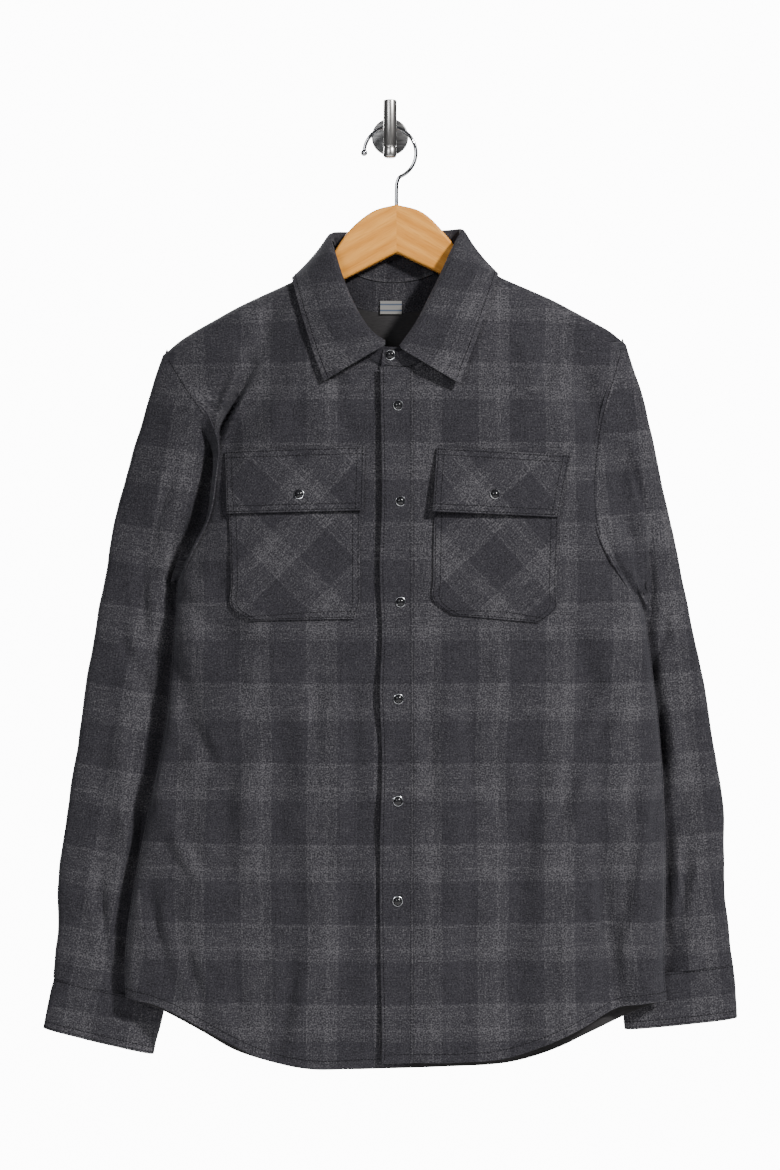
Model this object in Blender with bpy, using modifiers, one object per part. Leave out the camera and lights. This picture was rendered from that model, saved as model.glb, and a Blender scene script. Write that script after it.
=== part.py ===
# A plaid shirt-jacket on a wooden hanger that hangs from a wall hook.
# The tables are in millimetres: X to the viewer's right, Y to the wall, Z up.
# The origin is the middle of the wall plate's back, on the wall.
# Left and right in a name are the wearer's, so front_right is at the viewer's left.
import math
from collections import namedtuple

import bmesh
import bpy
from mathutils import Matrix, Vector
from mathutils.bvhtree import BVHTree

MM = 0.001

# Cloth and clearances
CLOTH = 1.6
SEAM_GAP = 0.55
CORNER_LEAST = 0.35
ROUND_POWER = 2.0
FRONT_POWER = 2.2
FOLD_ONSET = 1.4
CENTRE_X = 6.0
PLACKET_FREE_X = -9.0
PLACKET_SEAM_X = 22.85
UNDER_EDGE_X = 19.0
UNDER_LIFT = -2.4
UNDER_EASE = 40.0
PLACKET_OUT = 1.8
PLACKET_THICK = 2.1
PLACKET_MIDDLE_X = 7.0
STAND_HEIGHT = 31.0
LEAF_THICK = 2.0
LEAF_ROLL_BACK = 2.6
LEAF_ROLL_FRONT = 3.4
LEAF_ROLL_SIDE = 1.8
LEAF_GAP = 0.85
POCKET_LIFT = 0.85
POCKET_THICK = 1.4
FLAP_THICK = 1.6
SNAP_RADIUS = 5.25
SNAP_GAP = 0.3
RAY_START = 400.0
FACING_LEAST = 0.5

# Shoulders: the cloth's top line over the hanger, and how fast it falls away
NECK_TOP_RIGHT = (-73.0, -136.0)
NECK_TOP_LEFT = (85.6, -132.0)
SLOPE_RIGHT = 0.567
SLOPE_LEFT = 0.5405
FRONT_DROP = 130.0
BACK_DROP = 13.0
OPEN_REACH = 70.0
BOW_RISE = 6.0
BOW_START = 15.0
BOW_FULL = 75.0
BOW_END = 162.0
BOW_FADE = 28.0

# Below the arms the back folds forward, and the sleeves hang behind it
TUCK_RIGHT_X = -186.0
TUCK_LEFT_X = 206.0
TUCK_EASE = 70.0
TUCK_ROUND = 5.0
TUCK_ROUND_REACH = 12.0
TUCK_TOP_Z = -400.0
TUCK_FULL = 90.0

# Hanger and wall hook
HANGER_Y = -21.0
WOOD_THICK = 12.0
WOOD_BELOW_CLOTH = 3.5
WIRE_RADIUS = 1.65
HOOK_RADIUS = 26.4
HOOK_STEPS = 18
HOOK_START = -58.0
HOOK_TURN = 238.0
HOOK_GAP = 0.3
STEM_RADIUS = 5.0
STEM_GAP = 0.3
BAR_Y = -40.0
# The bar's radius and height from its top down, with a groove near the bottom
BAR_PROFILE = ((0, 30.5), (6, 30.5), (6.7, 29.8), (6.7, -16.3), (6, -16.9), (6, -17.9),
               (6.7, -18.5), (6.7, -25.5), (5.1, -27.7), (2.7, -28.5), (0, -28.5))
PLATE_RADIUS = 18.8
PLATE_THICK = 5.0
PLATE_BEVEL = 0.8
PLATE_SIDES = 28
BAR_SIDES = 16

BodyRow = namedtuple("BodyRow", "z right right_y left left_y front back")
BODY = [
    BodyRow(-60, -244, -21, 250, -21, -74, -9),
    BodyRow(-226, -238, -21, 247, -21, -76, -9),
    BodyRow(-320, -231, -26, 254, -25, -79, -9),
    BodyRow(-400, -222, -31, 256, -29, -81, -9),
    BodyRow(-455, -215.5, -34, 257, -32, -82, -9.5),
    BodyRow(-484, -217, -39.5, 257, -35, -82, -10),
    BodyRow(-510, -219, -41.5, 261, -40.5, -82, -10),
    BodyRow(-540, -221, -42, 265, -41, -82, -10),
    BodyRow(-610, -229, -42, 273, -42, -82, -11),
    BodyRow(-690, -245, -42, 278, -42, -82, -12),
    BodyRow(-780, -262, -42, 279, -42, -79, -14),
    BodyRow(-840, -268.5, -42, 277.5, -42, -76, -16),
    BodyRow(-880, -267.5, -42, 280, -42, -73, -18),
    BodyRow(-955, -266, -42, 281, -42, -68, -22),
]

# Largest soft folds: from and to in X and Z, half width, and depth towards the wall
Fold = namedtuple("Fold", "x0 z0 x1 z1 width depth")
FRONT_FOLDS = [
    Fold(-118, -190, -172, -330, 26, 9),
    Fold(-165, -300, -196, -420, 20, 6),
    Fold(190, -230, 216, -350, 24, 8),
    Fold(176, -520, 205, -600, 26, 5),
    Fold(216, -740, 224, -900, 20, 11),
    Fold(262, -720, 252, -890, 16, -5),
    Fold(-208, -560, -196, -700, 22, 6),
    Fold(-214, -720, -228, -890, 20, 8),
    Fold(-120, -640, -150, -900, 30, 5),
    Fold(-60, -620, -66, -920, 26, -4),
    Fold(110, -600, 120, -900, 34, 6),
    Fold(60, -560, 62, -900, 24, -3),
]
BACK_FOLDS = [
    Fold(-90, -330, -80, -900, 30, -4),
    Fold(100, -330, 110, -900, 34, -5),
    Fold(10, -420, 12, -920, 36, 3),
]

# Armholes in X and Z, from the shoulder seam down to the armpit, and on the back
Spot = namedtuple("Spot", "x z")
ARM_FRONT_RIGHT = [Spot(-227, -235.3), Spot(-209, -263), Spot(-190, -291), Spot(-176, -320),
                   Spot(-178, -356), Spot(-184, -392), Spot(-199, -422), Spot(-215.5, -455)]
ARM_FRONT_LEFT = [Spot(237, -225.8), Spot(229, -252), Spot(219, -285), Spot(212, -322),
                  Spot(208.5, -360), Spot(210, -400), Spot(228, -440), Spot(257, -484)]
ARM_BACK_RIGHT = [Spot(-205, -285), Spot(-196, -325), Spot(-192, -370), Spot(-200, -415),
                  Spot(-215.5, -455)]
ARM_BACK_LEFT = [Spot(216, -285), Spot(210, -330), Spot(209, -380), Spot(226, -437),
                 Spot(257, -484)]
SIDE_STEPS = 14
SIDE_HEM_RIGHT_Z = -877.0
SIDE_HEM_LEFT_Z = -880.0

# Neckline and front edge, from the shoulder seam down
NECK_RIGHT = [Spot(-68, -145.2), Spot(-60, -176), Spot(-46, -205), Spot(-28, -229),
              Spot(-8, -243), Spot(UNDER_EDGE_X, -247), Spot(UNDER_EDGE_X, -290),
              Spot(UNDER_EDGE_X, -333)]
NECK_LEFT = [Spot(81, -141.5), Spot(73, -173), Spot(60, -202), Spot(44, -227),
             Spot(PLACKET_SEAM_X, -243), Spot(PLACKET_SEAM_X, -265), Spot(PLACKET_SEAM_X, -292),
             Spot(PLACKET_SEAM_X, -333)]
HEM_CENTRE_RIGHT_Z = -942.0
HEM_CENTRE_LEFT_Z = -938.5

# Shirt-tail hems, by X
HEM_FRONT = [Spot(-268, -877), Spot(-235, -884), Spot(-193, -903), Spot(-150, -926),
             Spot(-108, -941), Spot(-60, -946), Spot(-8, -942), Spot(23, -938.5),
             Spot(80, -938), Spot(135, -931), Spot(170, -915), Spot(209, -898),
             Spot(230, -886), Spot(250, -882), Spot(281, -880)]
HEM_BACK = [Spot(-268, -877), Spot(-235, -889), Spot(-193, -911), Spot(-150, -936.5),
            Spot(-100, -951), Spot(-30, -954), Spot(40, -952), Spot(92, -949.5),
            Spot(132, -945), Spot(172, -930), Spot(205, -912), Spot(228, -901),
            Spot(250, -891), Spot(281, -880)]
HEM_BEND_FROM = 0.55

# Columns across a front and across each side of the back, from the side in
ACROSS = (0.0, 0.03, 0.10, 0.20, 0.33, 0.48, 0.64, 0.82, 1.0)

# Yoke rows over the shoulder: which face, drop below the top line, and its two ends in X
YokeRow = namedtuple("YokeRow", "front drop arm_right neck_right arm_left neck_left")
YOKE_ROWS = [
    YokeRow(True, 12, -227, -68, 237, 81),
    YokeRow(True, 3, -230.6, -71.5, 240, 84.2),
    YokeRow(False, 0, -231.8, -73, 241, 85.6),
    YokeRow(False, 3, -230.6, -72, 240, 84.6),
    YokeRow(False, 13, -226, -68, 235.5, 80),
]
YOKE_MID_Z = -232.0
YOKE_MID_ENDS = (-213.0, 224.0)
YOKE_MID_NECK = (-70.0, 83.0)
YOKE_SEAM_Z = -285.0
YOKE_SEAM_NECK = (-75.0, 88.0)
BACK_NECK = [Spot(-40, -174), Spot(6, -182), Spot(52, -172)]
BACK_NECK_SEAM_X = (-36.0, 6.0, 48.0)

# Collar by neck station: the fold's crest and the leaf's outer edge.
# A lift is how far the edge stands off the front below it; elsewhere the edge has its own y.
Crest = namedtuple("Crest", "station x y z")
CREST = [
    Crest(1, -5, -79, -217), Crest(2, -18, -73, -208), Crest(3, -33, -65, -187),
    Crest(4, -47, -54, -154), Crest(5, -55.7, -40, -122), Crest(6.5, -58.5, -25, -105.5),
    Crest(9, -46, -14, -100), Crest(11, 6, -12, -99), Crest(13, 60, -14, -98),
    Crest(15.5, 71, -25, -100.5), Crest(17, 64.8, -39, -116), Crest(18, 52, -51, -147),
    Crest(19, 39, -62, -174), Crest(20, 26, -72, -199), Crest(21, 10, -81, -222),
]
Edge = namedtuple("Edge", "station x z lift y")
EDGE = [
    Edge(1, -65.5, -257, 7.5, None), Edge(2, -73, -238, 7, None), Edge(3, -80, -216, 6.5, None),
    Edge(4, -88, -190, 6, None), Edge(5, -95, -165, 5.5, None), Edge(6, -98.8, -150.6, 0, -35),
    Edge(7, -98.5, -146.8, 0, -21), Edge(8, -92, -146, 0, -8), Edge(9, -80, -149, 0, -4.6),
    Edge(11, 6, -152, 0, -3.8), Edge(13, 90, -147, 0, -4.6), Edge(14, 101, -142, 0, -8),
    Edge(15, 108.3, -142.6, 0, -21), Edge(16, 109.2, -146.4, 0, -35),
    Edge(17, 104, -163, 5.5, None), Edge(18, 96, -187, 6, None), Edge(19, 87, -212, 7, None),
    Edge(20, 78, -236, 8, None), Edge(21, 69.3, -260, 9, None),
]
LEAF_BULGE = 3.0
LEAF_BULGE_SIDE = -2.0
LEAF_SHARES = (0.33, 0.66, 1.0)
LEAF_TURN_SHARE = 0.55
BACK_STATION = 11
BACK_STATIONS = 7.5
BACK_STATIONS_EASE = 3.0
SIDE_STATION = 4.5
SIDE_STATIONS = 3.2
STAND_SHARE_FRONT = 0.8
STAND_OVER_END = Spot(-9.0, -243.0)
STAND_OVER_TOP = Spot(-7.0, -225.0)
STAND_OVER_OUT = 2.1

# Sleeves: outer and inner edges of each section, the tube's middle in Y and its half depths
SleeveRow = namedtuple("SleeveRow", "at out_x out_z in_x in_z out_y in_y front back")
SLEEVE_RIGHT = [
    SleeveRow(1, -242.0, -254, -230, -458, -22, -30, 17, 11),
    SleeveRow(2, -253.0, -293, -225, -469, -21.5, -25, 16.5, 12),
    SleeveRow(3, -263.0, -329, -219, -483, -21, -20.5, 16, 13),
    SleeveRow(4, -272.5, -360, -216, -497, -19.5, -17.5, 15, 13),
    SleeveRow(5, -281.0, -392, -207, -513, -18, -17, 14, 12.5),
    SleeveRow(7, -294.2, -470, -197.5, -552, -17, -17, 13, 12),
    SleeveRow(9, -308.5, -548, -194, -603, -17, -17, 13, 12),
    SleeveRow(11, -322.0, -640, -196, -677, -17, -17, 13, 12),
    SleeveRow(13, -336.5, -733, -206, -751, -17, -17, 13, 12),
    SleeveRow(15, -339.6, -803, -219, -820, -17, -17, 13, 12),
    SleeveRow(17, -343.7, -861, -228.4, -886.5, -17, -17, 12, 11.5),
]
SLEEVE_LEFT = [
    SleeveRow(1, 247.0, -236, 272, -486, -22, -30, 17, 11),
    SleeveRow(2, 254.5, -260, 266, -497, -21.5, -25, 16.5, 12),
    SleeveRow(3, 262.7, -288, 262, -510, -21, -20.5, 16, 13),
    SleeveRow(4, 270.3, -323, 256, -521, -19.5, -17.5, 15, 13),
    SleeveRow(5, 278.0, -357.5, 243, -533, -18, -17, 14, 12.5),
    SleeveRow(7, 296.3, -441, 226, -560, -17, -17, 13, 12),
    SleeveRow(9, 313.6, -528, 215.5, -606, -17, -17, 13, 12),
    SleeveRow(11, 328.2, -608, 213.5, -668, -17, -17, 13, 12),
    SleeveRow(13, 340.5, -698, 217, -735, -17, -17, 13, 12),
    SleeveRow(15, 343.0, -781, 224, -798, -17, -17, 13, 12),
    SleeveRow(17, 350.8, -847, 235.6, -860, -17, -17, 12, 11.5),
]
CUFF_RIGHT_END = SleeveRow(19, -354.3, -912.4, -241.7, -939.3, -17, -17, 11.5, 11.0)
CUFF_LEFT_END = SleeveRow(19, 354.9, -902.2, 239.6, -914.1, -17, -17, 11.5, 11.0)
SLEEVE_STATIONS = 17
CAP_BLEND = (1.0, 0.5, 0.22, 0.07)
SLEEVE_POWER = 2.5

# Pockets: rows from the top down, with the cut corners in the last step
PocketRow = namedtuple("PocketRow", "x0 z0 x1 z1")
POCKET_RIGHT = [
    PocketRow(-162, -345, -29, -343), PocketRow(-161.5, -367, -29, -365),
    PocketRow(-161.2, -389, -29.4, -387), PocketRow(-160.6, -413, -29.6, -411),
    PocketRow(-159.8, -437, -29.8, -434), PocketRow(-159.3, -460, -29.8, -457),
    PocketRow(-159, -481.8, -30, -479), PocketRow(-139.6, -496, -35, -494),
]
POCKET_LEFT = [
    PocketRow(45, -344, 169.5, -350), PocketRow(44.5, -366, 169, -371),
    PocketRow(44, -388, 168.4, -393), PocketRow(43.4, -411, 167.8, -416),
    PocketRow(43, -434, 167, -439), PocketRow(42.8, -455, 166.2, -462),
    PocketRow(42.8, -475, 165.5, -484), PocketRow(61.6, -490, 148.4, -498),
]
FlapRow = namedtuple("FlapRow", "x0 z0 x1 z1 lift0 lift1")
FLAP_RIGHT = [
    FlapRow(-166.5, -325.7, -25.1, -322, 0.9, 0.9),
    FlapRow(-165.4, -343, -25.6, -340, 3.2, 3.2),
    FlapRow(-164.4, -366, -26.2, -363, 3.6, 4.0),
    FlapRow(-163.3, -389, -26.8, -386, 3.8, 5.0),
]
FLAP_LEFT = [
    FlapRow(46.7, -323, 181, -330.5, 0.9, 0.9),
    FlapRow(45.4, -341, 177, -349, 4.2, 3.2),
    FlapRow(43.8, -364, 172.6, -371, 6.6, 3.4),
    FlapRow(42.2, -387, 168.6, -392.5, 9.5, 3.6),
]
PATCH_COLUMNS = 8

# Snaps: ring and domed cap, turned about the snap's axis
SNAP_PROFILE = ((0.0, 2.7), (2.3, 2.4), (3.7, 1.7), (4.1, 1.2), (SNAP_RADIUS, 0.9),
                (SNAP_RADIUS, 0.0), (0.0, 0.0))
SNAP_SIDES = 10
FRONT_SNAPS = [Spot(8.0, -281.3), Spot(10.4, -376.8), Spot(10.4, -477.2), Spot(8.4, -573.5),
               Spot(8.0, -675.0), Spot(7.6, -775.0)]
STAND_SNAP = Spot(0.2, -231.0)
FLAP_SNAP_RIGHT = Spot(-90.5, -369.8)
FLAP_SNAP_LEFT = Spot(104.4, -369.8)

# The hanger's outline beside the neck, from its middle out, and its arm ends
ARCH_RIGHT = [Spot(-14, -77.8), Spot(-29, -87.2), Spot(-43, -100.6), Spot(-56, -119),
              Spot(-66, -133.4)]
ARCH_LEFT = [Spot(27.5, -77.8), Spot(40, -85.6), Spot(54.5, -100.6), Spot(66, -114.5),
             Spot(78, -130.8)]
HANGER_APEX = Spot(6.6, -72.6)
HANGER_VEE = Spot(6.6, -121.8)
HOOK_NECK = (Spot(6.6, -60.0), Spot(6.8, -51.0), Spot(9.5, -44.5))
ARM_END_RIGHT_X = -202.0
ARM_END_LEFT_X = 214.0
ARM_DEPTH = 22.0
ARM_START_STEP = 10.0
ARM_STEPS = 4
ARM_TIP_STEP = 6.0
ARM_TIP_TOP = 5.0
ARM_TIP_LOW = 15.0
TAB_CENTRE = (1.0, -176.2)
TAB_SIZE = (22.0, 1.0, 13.4)

TAB_GAP = 0.3
TAB_FRONT_LIMIT_Y = -60.0
WOOD_BEVEL = 4.0
CUFF_THICK = 2.2
CUFF_SNAP_RIGHT = Spot(-318.0, -891.0)
CUFF_SNAP_LEFT = Spot(326.0, -877.0)

# Upright planes that tell a panel's outer side from its inner side
BODY_MID_Y = -36.0
SHOULDER_MID_Y = -21.0
SLEEVE_MID_Y = -18.0
NECK_MID_Y = -42.0

COLOURS = {
    "plaid": ((0.044, 0.043, 0.052), 0.95, 0.0),
    "tab": ((0.45, 0.44, 0.42), 0.8, 0.0),
    "snap": ((0.35, 0.35, 0.36), 0.25, 0.9),
    "wood": ((0.56, 0.36, 0.19), 0.45, 0.0),
    "chrome": ((0.75, 0.76, 0.78), 0.12, 1.0),
    "steel": ((0.46, 0.46, 0.45), 0.38, 1.0),
}


def start_collection(name):
    """Empty the scene and make the collection that holds the parts."""
    for old in list(bpy.data.objects):
        bpy.data.objects.remove(old)
    collection = bpy.data.collections.new(name)
    bpy.context.scene.collection.children.link(collection)
    return collection


def make_material(name, kind):
    """A plain material of the given kind for one piece."""
    colour, roughness, metallic = COLOURS[kind]
    material = bpy.data.materials.new(name)
    material.use_nodes = True
    shader = material.node_tree.nodes["Principled BSDF"]
    shader.inputs["Base Color"].default_value = (*colour, 1.0)
    shader.inputs["Roughness"].default_value = roughness
    shader.inputs["Metallic"].default_value = metallic
    return material


def add_object(name, data, kind):
    """Put mesh or curve data in the collection under its node's name."""
    piece = bpy.data.objects.new(name, data)
    piece.data.materials.append(make_material(name, kind))
    PARTS.objects.link(piece)
    return piece


def clamp(value, low=0.0, high=1.0):
    return max(low, min(high, value))


def ease(value):
    """Smooth step from 0 to 1."""
    value = clamp(value)
    return value * value * (3.0 - 2.0 * value)


def mix(a, b, share):
    return a + (b - a) * share


def swell(reach, power):
    """A rounded rise from 0 to 1, steep at its start."""
    return (1.0 - (1.0 - clamp(reach)) ** power) ** (1.0 / power)


def smooth_row(rows, at, key=0):
    """The row of a table at a value of its key column, on a smooth curve through its rows."""
    rising = rows[-1][key] > rows[0][key]
    last = len(rows) - 2
    low = 0
    while low < last and (at > rows[low + 1][key]) == rising and at != rows[low + 1][key]:
        low += 1
    a, b = rows[low], rows[low + 1]
    before = rows[max(low - 1, 0)]
    after = rows[min(low + 2, len(rows) - 1)]
    span = b[key] - a[key]
    t = clamp((at - a[key]) / span)
    values = []
    for i in range(len(a)):
        slope_a = (b[i] - before[i]) / (b[key] - before[key])
        slope_b = (after[i] - a[i]) / (after[key] - a[key])
        value = ((2 * t**3 - 3 * t**2 + 1) * a[i] + (t**3 - 2 * t**2 + t) * span * slope_a
                 + (3 * t**2 - 2 * t**3) * b[i] + (t**3 - t**2) * span * slope_b)
        values.append(value)
    return type(a)(*values)


def bow(reach):
    """Rise of the shoulder line over a straight one, by the way out from the neck."""
    return BOW_RISE * ease((reach - BOW_START) / BOW_FULL) * ease((BOW_END - reach) / BOW_FADE)


def roof(x):
    """Height of the shoulders' top line, both slopes meeting over the neck."""
    reach_right = NECK_TOP_RIGHT[0] - x
    reach_left = x - NECK_TOP_LEFT[0]
    right = NECK_TOP_RIGHT[1] - SLOPE_RIGHT * reach_right + bow(reach_right)
    left = NECK_TOP_LEFT[1] - SLOPE_LEFT * reach_left + bow(reach_left)
    return min(right, left)


def fold_depth(folds, x, z):
    """Sum of the soft folds at a place, each fading at its ends."""
    total = 0.0
    for fold in folds:
        run = Vector((fold.x1 - fold.x0, fold.z1 - fold.z0))
        off = Vector((x - fold.x0, z - fold.z0))
        t = off.dot(run) / run.length_squared
        away = (off - run * clamp(t)).length
        total += fold.depth * math.exp(-((away / fold.width) ** 2))
    return total


def side_of(row, x):
    """The side edge's X and Y on the half that x lies in."""
    if x < CENTRE_X:
        return row.right, row.right_y
    return row.left, row.left_y


def front_y(x, z):
    """Depth of the front of the body."""
    row = smooth_row(BODY, z)
    side, side_y = side_of(row, x)
    reach = (x - side) / (CENTRE_X - side)
    rise = swell(reach, FRONT_POWER) * swell((roof(x) - z) / FRONT_DROP, ROUND_POWER)
    fold = fold_depth(FRONT_FOLDS, x, z) * ease(rise * FOLD_ONSET)
    return side_y + (row.front - side_y) * rise + fold


def back_y(x, z):
    """Depth of the back of the body, tucked forward below the arms."""
    row = smooth_row(BODY, z)
    side, side_y = side_of(row, x)
    inward = abs(x - side)
    rise = swell(inward / OPEN_REACH, ROUND_POWER)
    rise *= swell((roof(x) - z) / BACK_DROP, ROUND_POWER)
    open_y = side_y + (row.back - side_y) * rise
    tuck_x = TUCK_RIGHT_X if x < CENTRE_X else TUCK_LEFT_X
    edge_y = side_y + TUCK_ROUND * swell(inward / TUCK_ROUND_REACH, ROUND_POWER)
    inner = ease((inward - abs(side - tuck_x)) / TUCK_EASE)
    tucked_y = edge_y + (row.back - edge_y) * inner
    y = mix(open_y, tucked_y, ease((TUCK_TOP_Z - z) / TUCK_FULL))
    return y + fold_depth(BACK_FOLDS, x, z) * ease(rise) * inner


def front_point(spot, lift=0.0):
    return Vector((spot.x, front_y(spot.x, spot.z) - lift, spot.z))


def back_point(spot):
    return Vector((spot.x, back_y(spot.x, spot.z), spot.z))


class Panel:
    """A grid of outer points, with its faces, waiting for its wall."""

    def __init__(self, name, grid, closed=False, skip=None, thickness=CLOTH):
        self.name = name
        self.thickness = thickness
        self.points = []
        self.faces = []
        numbers = {}
        rows, columns = len(grid), len(grid[0])
        steps = columns if closed else columns - 1
        for r in range(rows - 1):
            for c in range(steps):
                if skip and skip(r, c):
                    continue
                d = (c + 1) % columns
                corners = ((r, c), (r, d), (r + 1, d), (r + 1, c))
                self.add_cell([self.number(numbers, grid, key) for key in corners])
        self.raw_normals()

    def number(self, numbers, grid, key):
        if key not in numbers:
            numbers[key] = len(self.points)
            self.points.append(grid[key[0]][key[1]].copy())
        return numbers[key]

    def add_cell(self, cell):
        """Split a cell along its shorter diagonal."""
        a, b, c, d = cell
        p = self.points
        if (p[a] - p[c]).length <= (p[b] - p[d]).length:
            self.faces += [(a, b, c), (a, c, d)]
        else:
            self.faces += [(a, b, d), (b, c, d)]

    def face_normal(self, face):
        a, b, c = (self.points[i] for i in face)
        return (b - a).cross(c - a)

    def raw_normals(self):
        self.normals = [Vector() for _ in self.points]
        for face in self.faces:
            normal = self.face_normal(face)
            for i in face:
                self.normals[i] += normal
        for normal in self.normals:
            normal.normalize()

    def face_out(self, mid_y):
        """Turn the faces away from the upright plane at mid_y."""
        total = 0.0
        for face in self.faces:
            centre_y = sum(self.points[i].y for i in face) / 3
            total += self.face_normal(face).y * (centre_y - mid_y)
        if total < 0:
            self.faces = [(c, b, a) for a, b, c in self.faces]
            self.normals = [-normal for normal in self.normals]
        return self

    def pull_in(self, distance):
        """Draw the free edges inwards in the surface, for the gap at the seams."""
        edges = {}
        for face in self.faces:
            for k in range(3):
                a, b, c = face[k], face[(k + 1) % 3], face[(k + 2) % 3]
                edges.setdefault(frozenset((a, b)), []).append((a, b, c))
        inward = {}
        self.rim = []
        for uses in edges.values():
            if len(uses) > 1:
                continue
            a, b, c = uses[0]
            self.rim.append((a, b))
            run = (self.points[b] - self.points[a]).normalized()
            to_third = self.points[c] - self.points[a]
            direction = (to_third - run * to_third.dot(run)).normalized()
            for i in (a, b):
                inward.setdefault(i, []).append(direction)
        for i, pair in inward.items():
            total = pair[0] + pair[1]
            self.points[i] += total * (distance / max(1.0 + pair[0].dot(pair[1]), CORNER_LEAST))

    def wall(self, kind):
        """Make the closed wall: outer faces, inner faces and the rims between."""
        inner = [p - n * self.thickness for p, n in zip(self.points, self.normals)]
        count = len(self.points)
        verts = [p * MM for p in self.points] + [p * MM for p in inner]
        faces = list(self.faces)
        faces += [(c + count, b + count, a + count) for a, b, c in self.faces]
        faces += [(b, a, a + count, b + count) for a, b in self.rim]
        mesh = bpy.data.meshes.new(self.name)
        mesh.from_pydata(verts, [], faces)
        mesh.update()
        piece = add_object(self.name, mesh, kind)
        mesh.shade_smooth()
        mesh.set_sharp_from_angle(angle=math.radians(50))
        return piece


def sew(panels):
    """Give points that several panels share one common direction."""
    shared = {}
    for panel in panels:
        for point, normal in zip(panel.points, panel.normals):
            key = tuple(round(v, 1) for v in point)
            shared[key] = shared.get(key, Vector()) + normal
    for panel in panels:
        for i, point in enumerate(panel.points):
            panel.normals[i] = shared[tuple(round(v, 1) for v in point)].normalized()
    for panel in panels:
        panel.pull_in(SEAM_GAP / 2)


def side_spots(arm, side_key, hem_z):
    """The armhole's spots and then the side seam's, down to the hem."""
    armpit = arm[-1].z
    spots = list(arm)
    for k in range(1, SIDE_STEPS + 1):
        z = mix(armpit, hem_z, k / SIDE_STEPS)
        spots.append(Spot(getattr(smooth_row(BODY, z), side_key), z))
    return spots


def centre_spots(neck, hem_z):
    """The neckline's spots and then the front edge's, down to the hem."""
    start = neck[-1]
    spots = list(neck)
    for k in range(1, SIDE_STEPS + 1):
        spots.append(Spot(start.x, mix(start.z, hem_z, k / SIDE_STEPS)))
    return spots


def hem_shift(hem, x, start, end, row, rows):
    """How far a row bends towards the hem's own curve, more in the lower rows."""
    share = ease((row / rows - HEM_BEND_FROM) / (1.0 - HEM_BEND_FROM))
    straight = mix(start.z, end.z, (x - start.x) / (end.x - start.x))
    return share, straight, smooth_row(hem, x).z


def front_grid(sides, centres, edge_lift):
    """Rows from the shoulder down, columns from the side to the front edge."""
    rows = len(sides) - 1
    grid = []
    for r, (side, centre) in enumerate(zip(sides, centres)):
        line = []
        for s in ACROSS:
            x = mix(side.x, centre.x, s)
            z = mix(side.z, centre.z, s)
            if 0.0 < s < 1.0:
                share, straight, hem_z = hem_shift(HEM_FRONT, x, sides[-1], centres[-1], r, rows)
                z += (hem_z - straight) * share
            lift = edge_lift * ease(x / UNDER_EASE + 1.0)
            line.append(front_point(Spot(x, z), lift))
        grid.append(line)
    return grid


def yoke_grid():
    """Rows from the forward seams over the shoulders to the back seam, armhole to armhole."""
    grid = []
    for row in YOKE_ROWS:
        line = []
        ends = ((row.arm_right, row.neck_right), (row.arm_left, row.neck_left))
        for side, (arm_x, neck_x) in enumerate(ends):
            run = []
            for s in ACROSS:
                x = mix(arm_x, neck_x, s)
                spot = Spot(x, roof(x) - row.drop)
                run.append(front_point(spot) if row.front else back_point(spot))
            if side == 0:
                line += run
                line += [back_point(spot) for spot in BACK_NECK]
            else:
                line += reversed(run)
        grid.append(line)
    seam_ends = (ARM_BACK_RIGHT[0].x, ARM_BACK_LEFT[0].x)
    for z, arms, necks in ((YOKE_MID_Z, YOKE_MID_ENDS, YOKE_MID_NECK),
                           (YOKE_SEAM_Z, seam_ends, YOKE_SEAM_NECK)):
        right = [mix(arms[0], necks[0], s) for s in ACROSS]
        left = [mix(arms[1], necks[1], s) for s in ACROSS]
        across = right + list(BACK_NECK_SEAM_X) + left[::-1]
        grid.append([back_point(Spot(x, z)) for x in across])
    return grid


def back_grid(sides_right, sides_left, seam):
    """Rows from the yoke seam down, on the yoke seam's columns."""
    first, last = seam[0].x, seam[-1].x
    shares = [(point.x - first) / (last - first) for point in seam]
    rows = len(sides_right) - 1
    grid = [list(seam)]
    for r in range(1, rows + 1):
        right, left = sides_right[r], sides_left[r]
        line = []
        for s in shares:
            x = mix(right.x, left.x, s)
            z = mix(right.z, left.z, s)
            if 0.0 < s < 1.0:
                share, straight, hem_z = hem_shift(HEM_BACK, x, sides_right[-1], sides_left[-1],
                                                   r, rows)
                z += (hem_z - straight) * share
            line.append(back_point(Spot(x, z)))
        grid.append(line)
    return grid


def tube_ring(row, count_front, count_back):
    """A flattened ring from the outer edge over the front to the inner edge and back."""
    outer = Vector((row.out_x, row.out_y, row.out_z))
    inner = Vector((row.in_x, row.in_y, row.in_z))
    middle, half = (outer + inner) / 2, (outer - inner) / 2
    ring = []
    for k in range(count_front + count_back):
        if k <= count_front:
            angle = math.pi * k / count_front
        else:
            angle = math.pi + math.pi * (k - count_front) / count_back
        c, s = math.cos(angle), math.sin(angle)
        across = math.copysign(abs(c) ** (2 / SLEEVE_POWER), c)
        depth = abs(s) ** (2 / SLEEVE_POWER)
        push = -row.front * depth if s > 0 else row.back * depth
        ring.append(middle + half * across + Vector((0, push, 0)))
    return ring


def sleeve_grid(table, armhole, count_front, count_back):
    """The armhole's ring first, then rings that lose its shape one by one."""
    grid = [armhole]
    for k in range(1, SLEEVE_STATIONS + 1):
        ring = tube_ring(smooth_row(table, k), count_front, count_back)
        share = CAP_BLEND[k] if k < len(CAP_BLEND) else 0.0
        grid.append([p * (1 - share) + a * share for p, a in zip(ring, armhole)])
    return grid


def armhole_ring(front, yoke, back):
    """Points round an armhole from the shoulder's top, down the front and up the back."""
    top = yoke[2]
    front_down = [top, yoke[1]] + front
    back_up = back[::-1][1:] + yoke[5:2:-1]
    return front_down + back_up


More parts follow.
